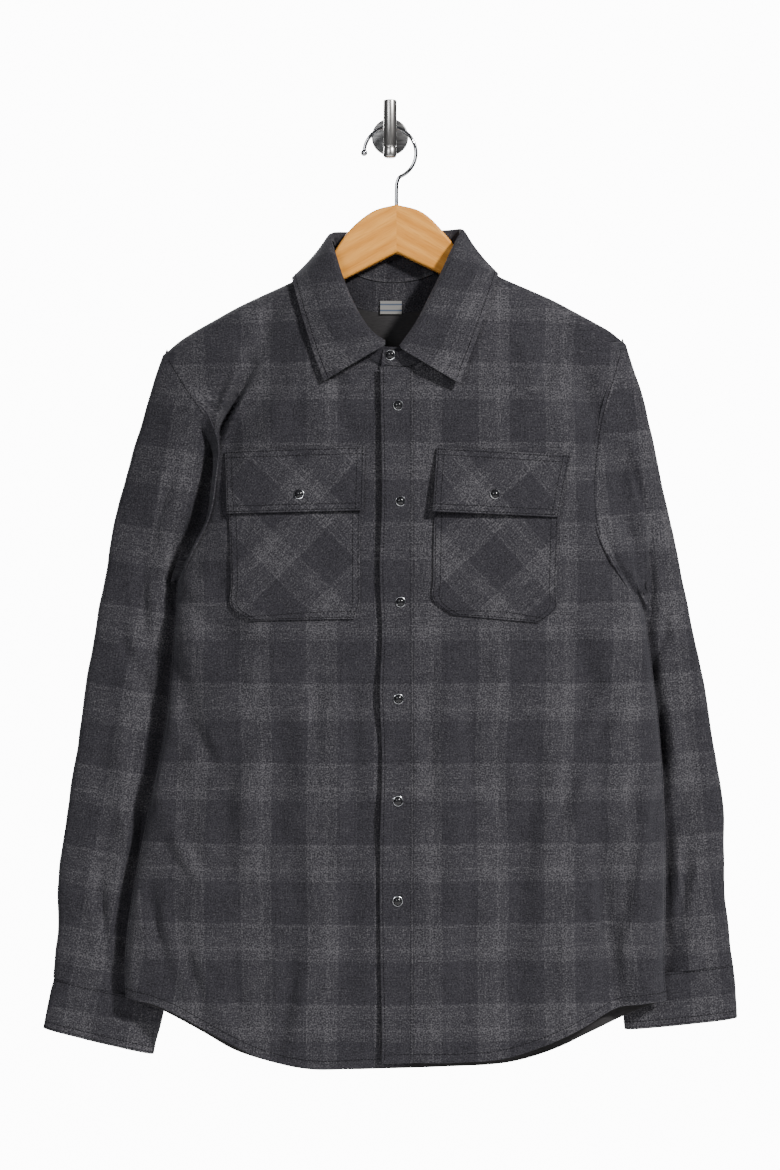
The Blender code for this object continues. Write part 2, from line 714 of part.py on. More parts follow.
def neck_points(front_right, yoke, front_left):
    """The neck seam from the under end, round the back, to the upper end at the placket."""
    points = [row[-1] for row in front_right[5::-1]]
    points += [yoke[r][8] for r in (1, 2, 3, 4)]
    points += [yoke[4][c] for c in (9, 10, 11)]
    points += [yoke[r][12] for r in (4, 3, 2, 1)]
    points += [row[-1] for row in front_left[0:5]]
    points.append(front_point(STAND_OVER_END, STAND_OVER_OUT))
    return points


def stand_tops(neck):
    """Top of the stand over each neck point."""
    tops = []
    last = len(neck) - 1
    for k, seam in enumerate(neck):
        if k == last:
            tops.append(front_point(STAND_OVER_TOP, STAND_OVER_OUT))
            continue
        crest = smooth_row(CREST, clamp(k, 1, 21))
        rise = Vector((crest.x, crest.y, crest.z)) - seam
        share = min(STAND_SHARE_FRONT, STAND_HEIGHT / rise.length)
        if k == 0:
            first = Vector((CREST[0].x, CREST[0].y, CREST[0].z))
            under = neck[1] + (first - neck[1]) * share
            tops.append(Vector((seam.x - 3, seam.y, under.z)))
        else:
            tops.append(seam + rise * share)
    return tops


def leaf_grid(neck, tops, fronts):
    """Section by section: up from the stand, over the roll and down to the outer edge."""
    sections = []
    axis = Vector((CENTRE_X, NECK_MID_Y, 0.0))
    for k in range(1, len(neck) - 1):
        crest = smooth_row(CREST, k)
        crest = Vector((crest.x, crest.y, crest.z))
        base = tops[k]
        rise = (crest - base).normalized() if (crest - base).length > 1 else Vector((0, 0, 1))
        along = (tops[k + 1] - tops[k - 1]) if 1 < k < len(neck) - 2 else (neck[k + 1] - neck[k])
        out = rise.cross(along).normalized()
        if out.dot(Vector((crest.x, crest.y, 0)) - axis) < 0:
            out = -out
        station = min(EDGE, key=lambda row: abs(row.station - k))
        if station.station == k:
            x, z, lift, y = station.x, station.z, station.lift, station.y
        else:
            a = max((row for row in EDGE if row.station < k), key=lambda row: row.station)
            b = min((row for row in EDGE if row.station > k), key=lambda row: row.station)
            x, z, y = (mix(a.x, b.x, 0.5), mix(a.z, b.z, 0.5), mix(a.y, b.y, 0.5))
            lift = 0.0
        if y is None:
            y = surface_y(fronts, x, z, lift)
        edge = Vector((x, y, z))
        from_back = abs(k - BACK_STATION)
        back_share = ease((BACK_STATIONS - from_back) / BACK_STATIONS_EASE)
        side_share = ease(1.0 - abs(from_back - SIDE_STATION) / SIDE_STATIONS)
        roll = mix(LEAF_ROLL_FRONT, LEAF_ROLL_BACK, back_share)
        roll = mix(roll, LEAF_ROLL_SIDE, side_share)
        start = base + rise * LEAF_GAP - out * (CLOTH / 2)
        turn_in = crest - rise * roll
        section = [start, mix(start, turn_in, LEAF_TURN_SHARE), turn_in,
                   crest + out * roll, crest - rise * roll + out * (2 * roll)]
        begin = section[-1]
        for share in LEAF_SHARES:
            bulge = mix(LEAF_BULGE, LEAF_BULGE_SIDE, side_share) * 4 * share * (1 - share)
            section.append(mix(begin, edge, share) + out * bulge)
        sections.append(section)
    return [list(row) for row in zip(*sections)]


def surface_y(panels, x, z, lift=0.0):
    """Depth of the outermost face of some panels behind a place, lifted square to the face."""
    best = None
    for panel in panels:
        tree = BVHTree.FromPolygons(panel.points, panel.faces)
        hit, normal, _, _ = tree.ray_cast(Vector((x, -RAY_START, z)), Vector((0, 1, 0)))
        if hit is not None:
            y = hit.y - lift / max(abs(normal.y), FACING_LEAST)
            best = y if best is None else min(best, y)
    return best


def patch_panel(name, rows, front, thickness, lifts):
    """A patch on a front, made from the front's own surface, moved out."""
    grid = []
    for r, row in enumerate(rows):
        line = []
        for c in range(PATCH_COLUMNS + 1):
            s = c / PATCH_COLUMNS
            x, z = mix(row.x0, row.x1, s), mix(row.z0, row.z1, s)
            lift = lifts(r, s) + thickness
            line.append(Vector((x, surface_y([front], x, z, lift), z)))
        grid.append(line)
    return Panel(name, [line[::-1] for line in grid], thickness=thickness)


def placket_panel(front_left):
    """The band from the seam to the free edge, proud of the fronts."""
    grid = []
    for row in front_left[4:]:
        seam = row[-1]
        line = []
        for x in (PLACKET_SEAM_X, PLACKET_MIDDLE_X, PLACKET_FREE_X):
            line.append(front_point(Spot(x, seam.z), PLACKET_OUT))
        grid.append(line)
    return Panel("placket", grid, thickness=PLACKET_THICK)


def snap_on(name, panel, spot, from_front=True):
    """A snap seated on a panel's outer face, square to it."""
    tree = BVHTree.FromPolygons(panel.points, panel.faces)
    start = Vector((spot.x, -RAY_START if from_front else RAY_START, spot.z))
    heading = Vector((0, 1 if from_front else -1, 0))
    hit, normal, _, _ = tree.ray_cast(start, heading)
    if normal.dot(heading) > 0:
        normal = -normal
    piece = add_turned(name, SNAP_PROFILE, "snap", SNAP_SIDES)
    turn = Vector((0, 0, 1)).rotation_difference(normal).to_matrix().to_4x4()
    piece.matrix_world = Matrix.Translation((hit + normal * SNAP_GAP) * MM) @ turn


def prism(name, outline, y0, y1, bevel, kind):
    """A flat outline in X and Z, given a thickness in Y and softened edges."""
    shape = bmesh.new()
    verts = [shape.verts.new((spot.x * MM, y0 * MM, spot.z * MM)) for spot in outline]
    face = shape.faces.new(verts)
    moved = bmesh.ops.extrude_face_region(shape, geom=[face])
    top = [v for v in moved["geom"] if isinstance(v, bmesh.types.BMVert)]
    bmesh.ops.translate(shape, verts=top, vec=(0, (y1 - y0) * MM, 0))
    bmesh.ops.recalc_face_normals(shape, faces=shape.faces)
    mesh = bpy.data.meshes.new(name)
    shape.to_mesh(mesh)
    shape.free()
    piece = add_object(name, mesh, kind)
    if bevel:
        soft = piece.modifiers.new("edges", "BEVEL")
        soft.width = bevel * MM
        soft.segments = 2
        soft.limit_method = "ANGLE"
        soft.angle_limit = math.radians(60)
    return piece


def hanger_outline():
    """Arch over the neck, arms under the shoulders, and a shallow V below."""
    outline = [HANGER_APEX]
    sides = []
    for arch, end_x in ((ARCH_LEFT, ARM_END_LEFT_X), (ARCH_RIGHT, ARM_END_RIGHT_X)):
        start_x = arch[-1].x + math.copysign(ARM_START_STEP, end_x)
        top = list(arch)
        for step in range(ARM_STEPS + 1):
            x = mix(start_x, end_x, step / ARM_STEPS)
            top.append(Spot(x, roof(x) - WOOD_BELOW_CLOTH))
        tip_x = end_x + math.copysign(ARM_TIP_STEP, end_x)
        top.append(Spot(tip_x, roof(tip_x) - WOOD_BELOW_CLOTH - ARM_TIP_TOP))
        top.append(Spot(tip_x, roof(tip_x) - WOOD_BELOW_CLOTH - ARM_TIP_LOW))
        top.append(Spot(end_x, roof(end_x) - WOOD_BELOW_CLOTH - ARM_DEPTH))
        sides.append(top)
    outline += sides[0]
    outline.append(HANGER_VEE)
    outline += sides[1][::-1]
    return outline


def add_hook():
    """A wire from the wood up, round over the stem, to its free tip."""
    centre_z = STEM_RADIUS + HOOK_GAP + WIRE_RADIUS - HOOK_RADIUS
    points = [Vector((HANGER_APEX.x, HANGER_Y, HANGER_APEX.z + HOOK_GAP))]
    points += [Vector((spot.x, HANGER_Y, spot.z)) for spot in HOOK_NECK]
    for step in range(HOOK_STEPS + 1):
        angle = math.radians(HOOK_START + step * HOOK_TURN / HOOK_STEPS)
        points.append(Vector((HOOK_RADIUS * math.cos(angle), HANGER_Y,
                              centre_z + HOOK_RADIUS * math.sin(angle))))
    data = bpy.data.curves.new("hanger_hook", "CURVE")
    data.dimensions = "3D"
    data.bevel_depth = WIRE_RADIUS * MM
    data.bevel_resolution = 2
    data.use_fill_caps = True
    data.render_resolution_u = 0
    spline = data.splines.new("POLY")
    spline.points.add(len(points) - 1)
    for target, point in zip(spline.points, points):
        target.co = (*(point * MM), 1.0)
    return add_object("hanger_hook", data, "chrome")


def add_turned(name, profile, kind, sides):
    """A turned shape about Z, from a profile that runs down its outer side."""
    mesh = bpy.data.meshes.new(name)
    verts = [(radius * MM, 0, height * MM) for radius, height in profile]
    mesh.from_pydata(verts, [(i, i + 1) for i in range(len(verts) - 1)], [])
    piece = add_object(name, mesh, kind)
    screw = piece.modifiers.new("turn", "SCREW")
    screw.steps = sides
    screw.render_steps = sides
    screw.use_merge_vertices = True
    screw.merge_threshold = 0.00001
    screw.use_smooth_shade = True
    return piece


def add_wall_hook():
    """A round plate, and a peg that is a stem with an upright bar on its end."""
    rim = PLATE_RADIUS - PLATE_BEVEL
    plate_profile = ((0, PLATE_THICK), (rim, PLATE_THICK),
                     (PLATE_RADIUS, PLATE_THICK - PLATE_BEVEL), (PLATE_RADIUS, 0), (0, 0))
    plate = add_turned("wall_plate", plate_profile, "steel", PLATE_SIDES)
    plate.rotation_euler = (math.radians(90), 0, 0)
    bar = add_turned("wall_peg", BAR_PROFILE, "steel", BAR_SIDES)
    bar.location = (0, BAR_Y * MM, 0)
    stem_start = -PLATE_THICK - STEM_GAP
    bpy.ops.mesh.primitive_cylinder_add(
        vertices=BAR_SIDES, radius=STEM_RADIUS * MM, depth=(stem_start - BAR_Y) * MM,
        location=(0, (BAR_Y + stem_start) / 2 * MM, 0), rotation=(math.radians(90), 0, 0))
    stem = bpy.context.object
    stem.name = "stem_tool"
    stem.hide_render = True
    stem.display_type = "WIRE"
    for collection in list(stem.users_collection):
        collection.objects.unlink(stem)
    TOOLS.objects.link(stem)
    union = bar.modifiers.new("join", "BOOLEAN")
    union.operation = "UNION"
    union.solver = "EXACT"
    union.object = stem


def build():
    """Grids first, then the directions at the seams, then the walls and the hard pieces."""
    sides_right = side_spots(ARM_FRONT_RIGHT, "right", SIDE_HEM_RIGHT_Z)
    sides_left = side_spots(ARM_FRONT_LEFT, "left", SIDE_HEM_LEFT_Z)
    right = front_grid(sides_right, centre_spots(NECK_RIGHT, HEM_CENTRE_RIGHT_Z), UNDER_LIFT)
    left = front_grid(sides_left, centre_spots(NECK_LEFT, HEM_CENTRE_LEFT_Z), 0.0)
    yoke = yoke_grid()
    for c in range(len(ACROSS)):
        right[0][c] = yoke[0][c].copy()
        left[0][c] = yoke[0][-1 - c].copy()
    back_right = side_spots(ARM_BACK_RIGHT, "right", SIDE_HEM_RIGHT_Z)
    back_left = side_spots(ARM_BACK_LEFT, "left", SIDE_HEM_LEFT_Z)
    back = back_grid(back_right, back_left, yoke[-1])

    last_arm = len(ARM_FRONT_RIGHT)
    back_arm = len(ARM_BACK_RIGHT)
    count_front = 2 + last_arm - 1
    count_back = 4 + back_arm - 1
    yoke_right = [row[0] for row in yoke]
    yoke_left = [row[-1] for row in yoke]
    hole_right = armhole_ring([row[0] for row in right[:last_arm]], yoke_right,
                              [row[0] for row in back[:back_arm]])
    hole_left = armhole_ring([row[0] for row in left[:last_arm]], yoke_left,
                             [row[-1] for row in back[:back_arm]])
    sleeve_right = sleeve_grid(SLEEVE_RIGHT, hole_right, count_front, count_back)
    sleeve_left = sleeve_grid(SLEEVE_LEFT, hole_left, count_front, count_back)
    cuffs = []
    for table, end in ((SLEEVE_RIGHT, CUFF_RIGHT_END), (SLEEVE_LEFT, CUFF_LEFT_END)):
        start = smooth_row(table, SLEEVE_STATIONS)
        rows = []
        for share in (0.0, 0.5, 1.0):
            row = SleeveRow(*(mix(a, b, share) for a, b in zip(start, end)))
            rows.append(tube_ring(row, count_front, count_back))
        cuffs.append(rows)

    neck = neck_points(right, yoke, left)
    tops = stand_tops(neck)
    stand = [tops, [mix(a, b, 0.5) for a, b in zip(tops, neck)], neck]
    middle = len(ACROSS)

    def over_neck(r, c):
        return r < 4 and middle - 1 <= c < middle + 3

    body = [
        Panel("front_right", right).face_out(BODY_MID_Y),
        Panel("front_left", left).face_out(BODY_MID_Y),
        Panel("yoke", yoke, skip=over_neck).face_out(SHOULDER_MID_Y),
        Panel("back", back).face_out(BODY_MID_Y),
        Panel("sleeve_right", sleeve_right, closed=True).face_out(SLEEVE_MID_Y),
        Panel("sleeve_left", sleeve_left, closed=True).face_out(SLEEVE_MID_Y),
        Panel("cuff_right", cuffs[0], closed=True, thickness=CUFF_THICK).face_out(SLEEVE_MID_Y),
        Panel("cuff_left", cuffs[1], closed=True, thickness=CUFF_THICK).face_out(SLEEVE_MID_Y),
        Panel("collar_stand", stand).face_out(NECK_MID_Y),
    ]
    sew(body)
    named = {panel.name: panel for panel in body}
    fronts = [named["front_right"], named["front_left"]]

    leaf = Panel("collar_leaf", leaf_grid(neck, tops, fronts), thickness=LEAF_THICK)
    leaf.points = [p + n * (LEAF_THICK / 2) for p, n in zip(leaf.points, leaf.normals)]
    placket = placket_panel(left).face_out(BODY_MID_Y)
    patches = [leaf, placket]
    for name, rows, front in (("pocket_right", POCKET_RIGHT, fronts[0]),
                              ("pocket_left", POCKET_LEFT, fronts[1])):
        patch = patch_panel(name, rows, front, POCKET_THICK, lambda r, s: POCKET_LIFT)
        patches.append(patch.face_out(BODY_MID_Y))
    for name, rows, front in (("flap_right", FLAP_RIGHT, fronts[0]),
                              ("flap_left", FLAP_LEFT, fronts[1])):
        def flap_lift(r, s, table=rows):
            return mix(table[r].lift0, table[r].lift1, s)
        patch = patch_panel(name, rows, front, FLAP_THICK, flap_lift)
        patches.append(patch.face_out(BODY_MID_Y))
    for patch in patches:
        patch.pull_in(SEAM_GAP / 2)
        named[patch.name] = patch
    for panel in named.values():
        panel.wall("plaid")
    return named


def add_neck_tab(named):
    """A small flat tab inside the back of the neck."""
    x, z = TAB_CENTRE
    wide, thick, tall = TAB_SIZE
    inner_y = surface_y_inside(named["yoke"], named["collar_stand"], x, z)
    corners = [Spot(x - wide / 2, z - tall / 2), Spot(x + wide / 2, z - tall / 2),
               Spot(x + wide / 2, z + tall / 2), Spot(x - wide / 2, z + tall / 2)]
    prism("neck_tab", corners, inner_y - TAB_GAP - thick, inner_y - TAB_GAP, 0.0, "tab")


def surface_y_inside(yoke, stand, x, z):
    """The forward-most inner face of the back of the neck, around the tab."""
    depths = []
    for panel in (yoke, stand):
        tree = BVHTree.FromPolygons(panel.points, panel.faces)
        for dx in (-TAB_SIZE[0] / 2, 0, TAB_SIZE[0] / 2):
            for dz in (-TAB_SIZE[2] / 2, 0, TAB_SIZE[2] / 2):
                start = Vector((x + dx, RAY_START, z + dz))
                hit = tree.ray_cast(start, Vector((0, -1, 0)))[0]
                if hit is not None and hit.y > TAB_FRONT_LIMIT_Y:
                    depths.append(hit.y - panel.thickness)
    return min(depths)


def main():
    named = build()
    for k, spot in enumerate(FRONT_SNAPS, 1):
        snap_on(f"snap_front_{k}", named["placket"], spot)
    snap_on("snap_stand", named["collar_stand"], STAND_SNAP)
    snap_on("snap_flap_right", named["flap_right"], FLAP_SNAP_RIGHT)
    snap_on("snap_flap_left", named["flap_left"], FLAP_SNAP_LEFT)
    snap_on("snap_cuff_right", named["cuff_right"], CUFF_SNAP_RIGHT, from_front=False)
    snap_on("snap_cuff_left", named["cuff_left"], CUFF_SNAP_LEFT, from_front=False)
    add_neck_tab(named)
    prism("hanger_wood", hanger_outline(), HANGER_Y - WOOD_THICK / 2, HANGER_Y + WOOD_THICK / 2,
          WOOD_BEVEL, "wood")
    add_hook()
    add_wall_hook()


PARTS = start_collection("plaid_shacket_on_hanger")
TOOLS = bpy.data.collections.new("cutters")
bpy.context.scene.collection.children.link(TOOLS)
main()
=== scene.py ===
import math
from collections import namedtuple

import bmesh
import bpy
import numpy as np
from mathutils import Matrix, Vector
from mathutils.bvhtree import BVHTree


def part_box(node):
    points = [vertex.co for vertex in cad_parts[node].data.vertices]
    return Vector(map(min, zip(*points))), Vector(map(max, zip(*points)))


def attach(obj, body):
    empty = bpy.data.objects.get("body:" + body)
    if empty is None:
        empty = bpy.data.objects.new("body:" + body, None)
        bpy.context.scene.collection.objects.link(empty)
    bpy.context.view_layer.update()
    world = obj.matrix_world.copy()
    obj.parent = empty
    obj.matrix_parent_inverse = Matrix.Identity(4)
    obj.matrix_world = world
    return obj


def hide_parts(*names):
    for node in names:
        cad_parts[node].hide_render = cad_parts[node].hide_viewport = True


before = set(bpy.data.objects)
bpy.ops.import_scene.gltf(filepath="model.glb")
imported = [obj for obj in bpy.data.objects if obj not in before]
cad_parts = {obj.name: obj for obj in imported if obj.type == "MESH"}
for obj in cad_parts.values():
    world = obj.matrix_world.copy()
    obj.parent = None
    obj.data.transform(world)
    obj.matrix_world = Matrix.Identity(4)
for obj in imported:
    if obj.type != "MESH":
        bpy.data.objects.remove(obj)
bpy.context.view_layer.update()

MM = 0.001
TINY = 1e-9
LEAST_STEP = 1e-6

# The body's form: how fast it rises from its edges, and its middle and front edges in X
CLOTH = 1.6
ROUND_POWER = 2.0
FRONT_POWER = 2.2
FOLD_ONSET = 1.4
CENTRE_X = 6.0
PLACKET_FREE_X = -9.0
PLACKET_SEAM_X = 22.85
UNDER_EDGE_X = 19.0
UNDER_LIFT = -2.4
UNDER_EASE = 40.0

# Pieces laid on the body: thickness, roll, and how far they stand off it
PLACKET_OUT = 1.8
PLACKET_THICK = 2.1
STAND_HEIGHT = 31.0
LEAF_THICK = 2.0
LEAF_ROLL_BACK = 2.6
LEAF_ROLL_FRONT = 3.4
LEAF_ROLL_SIDE = 1.8
LEAF_GAP = 0.85
POCKET_LIFT = 0.85
POCKET_THICK = 1.4
FLAP_THICK = 1.6
CUFF_THICK = 2.2

# A line cast at the cloth: where it starts, and the least slant it allows for
RAY_START = 400.0
FACING_LEAST = 0.5

# Shoulders: the cloth's top line over the hanger, and how fast it falls away
NECK_TOP_RIGHT = (-73.0, -136.0)
NECK_TOP_LEFT = (85.6, -132.0)
SLOPE_RIGHT = 0.567
SLOPE_LEFT = 0.5405
FRONT_DROP = 130.0
BACK_DROP = 13.0
OPEN_REACH = 70.0
BOW_RISE = 6.0
BOW_START = 15.0
BOW_FULL = 75.0
BOW_END = 162.0
BOW_FADE = 28.0

# Below the arms the back folds forward, and the sleeves hang behind it
TUCK_RIGHT_X = -186.0
TUCK_LEFT_X = 206.0
TUCK_EASE = 70.0
TUCK_ROUND = 5.0
TUCK_ROUND_REACH = 12.0
TUCK_TOP_Z = -400.0
TUCK_FULL = 90.0

# Hanger and wall hook
HANGER_Y = -21.0
WOOD_THICK = 12.0
WOOD_BELOW_CLOTH = 3.5
WOOD_EDGE = 3.2
WOOD_EDGE_STEPS = 4
WOOD_EDGE_ANGLE = 50.0
GRAIN_LEAN = 0.50
WIRE_RADIUS = 1.65
WIRE_SHOWN = 1.9
WIRE_KINK = 2
WIRE_INTO_WOOD = 4.0
WIRE_ROUND = 5
WIRE_STEPS = 6
HOOK_RADIUS = 26.4
HOOK_STEPS = 18
HOOK_START = -58.0
HOOK_TURN = 238.0
HOOK_GAP = 0.3
BALL_RADIUS = 3.4
BALL_STEPS = 12
STEM_RADIUS = 5.0
BAR_Y = -40.0
PLATE_THICK = 5.0

# Steps round the turned pieces
SNAP_TURNS = 40
BALL_TURNS = 32
PLATE_TURNS = 96
BAR_TURNS = 64
STEM_TURNS = 48

BodyRow = namedtuple("BodyRow", "z right right_y left left_y front back")
BODY = [
    BodyRow(-60, -244, -21, 250, -21, -74, -9),
    BodyRow(-226, -238, -21, 247, -21, -76, -9),
    BodyRow(-320, -231, -26, 254, -25, -79, -9),
    BodyRow(-400, -222, -31, 256, -29, -81, -9),
    BodyRow(-455, -215.5, -34, 257, -32, -82, -9.5),
    BodyRow(-484, -217, -39.5, 257, -35, -82, -10),
    BodyRow(-510, -219, -41.5, 261, -40.5, -82, -10),
    BodyRow(-540, -221, -42, 265, -41, -82, -10),
    BodyRow(-610, -229, -42, 273, -42, -82, -11),
    BodyRow(-690, -245, -42, 278, -42, -82, -12),
    BodyRow(-780, -262, -42, 279, -42, -79, -14),
    BodyRow(-840, -268.5, -42, 277.5, -42, -76, -16),
    BodyRow(-880, -267.5, -42, 280, -42, -73, -18),
    BodyRow(-955, -266, -42, 281, -42, -68, -22),
]

# Largest soft folds: from and to in X and Z, half width, and depth towards the wall
Fold = namedtuple("Fold", "x0 z0 x1 z1 width depth")
FRONT_FOLDS = [
    Fold(-118, -190, -172, -330, 26, 9),
    Fold(-165, -300, -196, -420, 20, 6),
    Fold(190, -230, 216, -350, 24, 8),
    Fold(176, -520, 205, -600, 26, 5),
    Fold(216, -740, 224, -900, 20, 11),
    Fold(262, -720, 252, -890, 16, -5),
    Fold(-208, -560, -196, -700, 22, 6),
    Fold(-214, -720, -228, -890, 20, 8),
    Fold(-120, -640, -150, -900, 30, 5),
    Fold(-60, -620, -66, -920, 26, -4),
    Fold(110, -600, 120, -900, 34, 6),
    Fold(60, -560, 62, -900, 24, -3),
]
BACK_FOLDS = [
    Fold(-90, -330, -80, -900, 30, -4),
    Fold(100, -330, 110, -900, 34, -5),
    Fold(10, -420, 12, -920, 36, 3),
]

# Armholes in X and Z, from the shoulder seam down to the armpit, and on the back
Spot = namedtuple("Spot", "x z")
ARM_FRONT_RIGHT = [Spot(-227, -235.3), Spot(-209, -263), Spot(-190, -291), Spot(-176, -320),
                   Spot(-178, -356), Spot(-184, -392), Spot(-199, -422), Spot(-215.5, -455)]
ARM_FRONT_LEFT = [Spot(237, -225.8), Spot(229, -252), Spot(219, -285), Spot(212, -322),
                  Spot(208.5, -360), Spot(210, -400), Spot(228, -440), Spot(257, -484)]
ARM_BACK_RIGHT = [Spot(-205, -285), Spot(-196, -325), Spot(-192, -370), Spot(-200, -415),
                  Spot(-215.5, -455)]
ARM_BACK_LEFT = [Spot(216, -285), Spot(210, -330), Spot(209, -380), Spot(226, -437),
                 Spot(257, -484)]
SIDE_STEPS = 14
SIDE_HEM_RIGHT_Z = -877.0
SIDE_HEM_LEFT_Z = -880.0

# Neckline and front edge, from the shoulder seam down
NECK_RIGHT = [Spot(-68, -145.2), Spot(-60, -176), Spot(-46, -205), Spot(-28, -229),
              Spot(-8, -243), Spot(UNDER_EDGE_X, -247), Spot(UNDER_EDGE_X, -290),
              Spot(UNDER_EDGE_X, -333)]
NECK_LEFT = [Spot(81, -141.5), Spot(73, -173), Spot(60, -202), Spot(44, -227),
             Spot(PLACKET_SEAM_X, -243), Spot(PLACKET_SEAM_X, -265), Spot(PLACKET_SEAM_X, -292),
             Spot(PLACKET_SEAM_X, -333)]
# Rows of the necklines at which the collar's seam ends
UNDER_END_ROW = 5
UPPER_END_ROW = 4
HEM_CENTRE_RIGHT_Z = -942.0
HEM_CENTRE_LEFT_Z = -938.5

# Shirt-tail hems, by X
HEM_FRONT = [Spot(-268, -877), Spot(-235, -884), Spot(-193, -903), Spot(-150, -926),
             Spot(-108, -941), Spot(-60, -946), Spot(-8, -942), Spot(23, -938.5),
             Spot(80, -938), Spot(135, -931), Spot(170, -915), Spot(209, -898),
             Spot(230, -886), Spot(250, -882), Spot(281, -880)]
HEM_BACK = [Spot(-268, -877), Spot(-235, -889), Spot(-193, -911), Spot(-150, -936.5),
            Spot(-100, -951), Spot(-30, -954), Spot(40, -952), Spot(92, -949.5),
            Spot(132, -945), Spot(172, -930), Spot(205, -912), Spot(228, -901),
            Spot(250, -891), Spot(281, -880)]
HEM_BEND_FROM = 0.55

# Columns across a front and across each side of the back, from the side in
ACROSS = (0.0, 0.03, 0.10, 0.20, 0.33, 0.48, 0.64, 0.82, 1.0)

# Yoke rows over the shoulder: which face, drop below the top line, and its two ends in X
YokeRow = namedtuple("YokeRow", "front drop arm_right neck_right arm_left neck_left")
YOKE_ROWS = [
    YokeRow(True, 12, -227, -68, 237, 81),
    YokeRow(True, 3, -230.6, -71.5, 240, 84.2),
    YokeRow(False, 0, -231.8, -73, 241, 85.6),
    YokeRow(False, 3, -230.6, -72, 240, 84.6),
    YokeRow(False, 13, -226, -68, 235.5, 80),
]
YOKE_TOP_ROW = 2
YOKE_BACK_ROWS = 3
YOKE_MID_Z = -232.0
YOKE_MID_ENDS = (-213.0, 224.0)
YOKE_MID_NECK = (-70.0, 83.0)
YOKE_SEAM_Z = -285.0
YOKE_SEAM_NECK = (-75.0, 88.0)
BACK_NECK = [Spot(-40, -174), Spot(6, -182), Spot(52, -172)]
BACK_NECK_SEAM_X = (-36.0, 6.0, 48.0)

# Collar by neck station: the fold's crest and the leaf's outer edge.
# A lift is how far the edge stands off the front below it; elsewhere the edge has its own y.
Crest = namedtuple("Crest", "station x y z")
CREST = [
    Crest(1, -5, -79, -217), Crest(2, -18, -73, -208), Crest(3, -33, -65, -187),
    Crest(4, -47, -54, -154), Crest(5, -55.7, -40, -122), Crest(6.5, -58.5, -25, -105.5),
    Crest(9, -46, -14, -100), Crest(11, 6, -12, -99), Crest(13, 60, -14, -98),
    Crest(15.5, 71, -25, -100.5), Crest(17, 64.8, -39, -116), Crest(18, 52, -51, -147),
    Crest(19, 39, -62, -174), Crest(20, 26, -72, -199), Crest(21, 10, -81, -222),
]
Edge = namedtuple("Edge", "station x z lift y")
EDGE = [
    Edge(1, -65.5, -257, 4.2, None), Edge(2, -73, -238, 4.2, None), Edge(3, -80, -216, 4.2, None),
    Edge(4, -88, -190, 4.4, None), Edge(5, -95, -165, 4.8, None), Edge(6, -98.8, -150.6, 0, -35),
    Edge(7, -98.5, -146.8, 0, -21), Edge(8, -92, -146, 0, -8), Edge(9, -80, -149, 0, -4.6),
    Edge(11, 6, -152, 0, -3.8), Edge(13, 90, -147, 0, -4.6), Edge(14, 101, -142, 0, -8),
    Edge(15, 108.3, -142.6, 0, -21), Edge(16, 109.2, -146.4, 0, -35),
    Edge(17, 104, -163, 5.5, None), Edge(18, 96, -187, 6, None), Edge(19, 87, -212, 7, None),
    Edge(20, 78, -236, 8, None), Edge(21, 69.3, -260, 9, None),
]
LEAF_BULGE = 3.0
LEAF_BULGE_SIDE = -2.0
LEAF_SHARES = (0.33, 0.66, 1.0)
LEAF_TURN_SHARE = 0.55
BACK_STATION = 11
BACK_STATIONS = 7.5
BACK_STATIONS_EASE = 3.0
SIDE_STATION = 4.5
SIDE_STATIONS = 3.2
STAND_SHARE_FRONT = 0.8
STAND_LEAN = 3.0
STAND_OVER_END = Spot(-9.0, -243.0)
STAND_OVER_TOP = Spot(-7.0, -225.0)
STAND_OVER_OUT = 2.1

# Sleeves: outer and inner edges of each section, the tube's middle in Y and its half depths
SleeveRow = namedtuple("SleeveRow", "at out_x out_z in_x in_z out_y in_y front back")
SLEEVE_RIGHT = [
    SleeveRow(1, -242.0, -254, -230, -458, -22, -30, 17, 11),
    SleeveRow(2, -253.0, -293, -221, -469, -21.5, -25, 16.5, 12),
    SleeveRow(3, -263.0, -329, -214, -483, -21, -20.5, 16, 13),
    SleeveRow(4, -272.5, -360, -210, -497, -19.5, -17.5, 15, 13),
    SleeveRow(5, -281.0, -392, -207, -513, -18, -17, 14, 12.5),
    SleeveRow(7, -294.2, -470, -197.5, -552, -17, -17, 13, 12),
    SleeveRow(9, -308.5, -548, -194, -603, -17, -17, 13, 12),
    SleeveRow(11, -322.0, -640, -196, -677, -17, -17, 13, 12),
    SleeveRow(13, -336.5, -733, -206, -751, -17, -17, 13, 12),
    SleeveRow(15, -339.6, -803, -219, -820, -17, -17, 13, 12),
    SleeveRow(17, -343.7, -861, -228.4, -886.5, -17, -17, 12, 11.5),
]
SLEEVE_LEFT = [
    SleeveRow(1, 247.0, -236, 272, -486, -22, -30, 17, 11),
    SleeveRow(2, 254.5, -260, 266, -497, -21.5, -25, 16.5, 12),
    SleeveRow(3, 262.7, -288, 262, -510, -21, -20.5, 16, 13),
    SleeveRow(4, 270.3, -323, 256, -521, -19.5, -17.5, 15, 13),
    SleeveRow(5, 278.0, -357.5, 243, -533, -18, -17, 14, 12.5),
    SleeveRow(7, 296.3, -441, 226, -560, -17, -17, 13, 12),
    SleeveRow(9, 313.6, -528, 215.5, -606, -17, -17, 13, 12),
    SleeveRow(11, 328.2, -608, 213.5, -668, -17, -17, 13, 12),
    SleeveRow(13, 340.5, -698, 217, -735, -17, -17, 13, 12),
    SleeveRow(15, 343.0, -781, 224, -798, -17, -17, 13, 12),
    SleeveRow(17, 350.8, -847, 235.6, -860, -17, -17, 12, 11.5),
]
CUFF_RIGHT_END = SleeveRow(19, -354.3, -912.4, -241.7, -939.3, -17, -17, 11.5, 11.0)
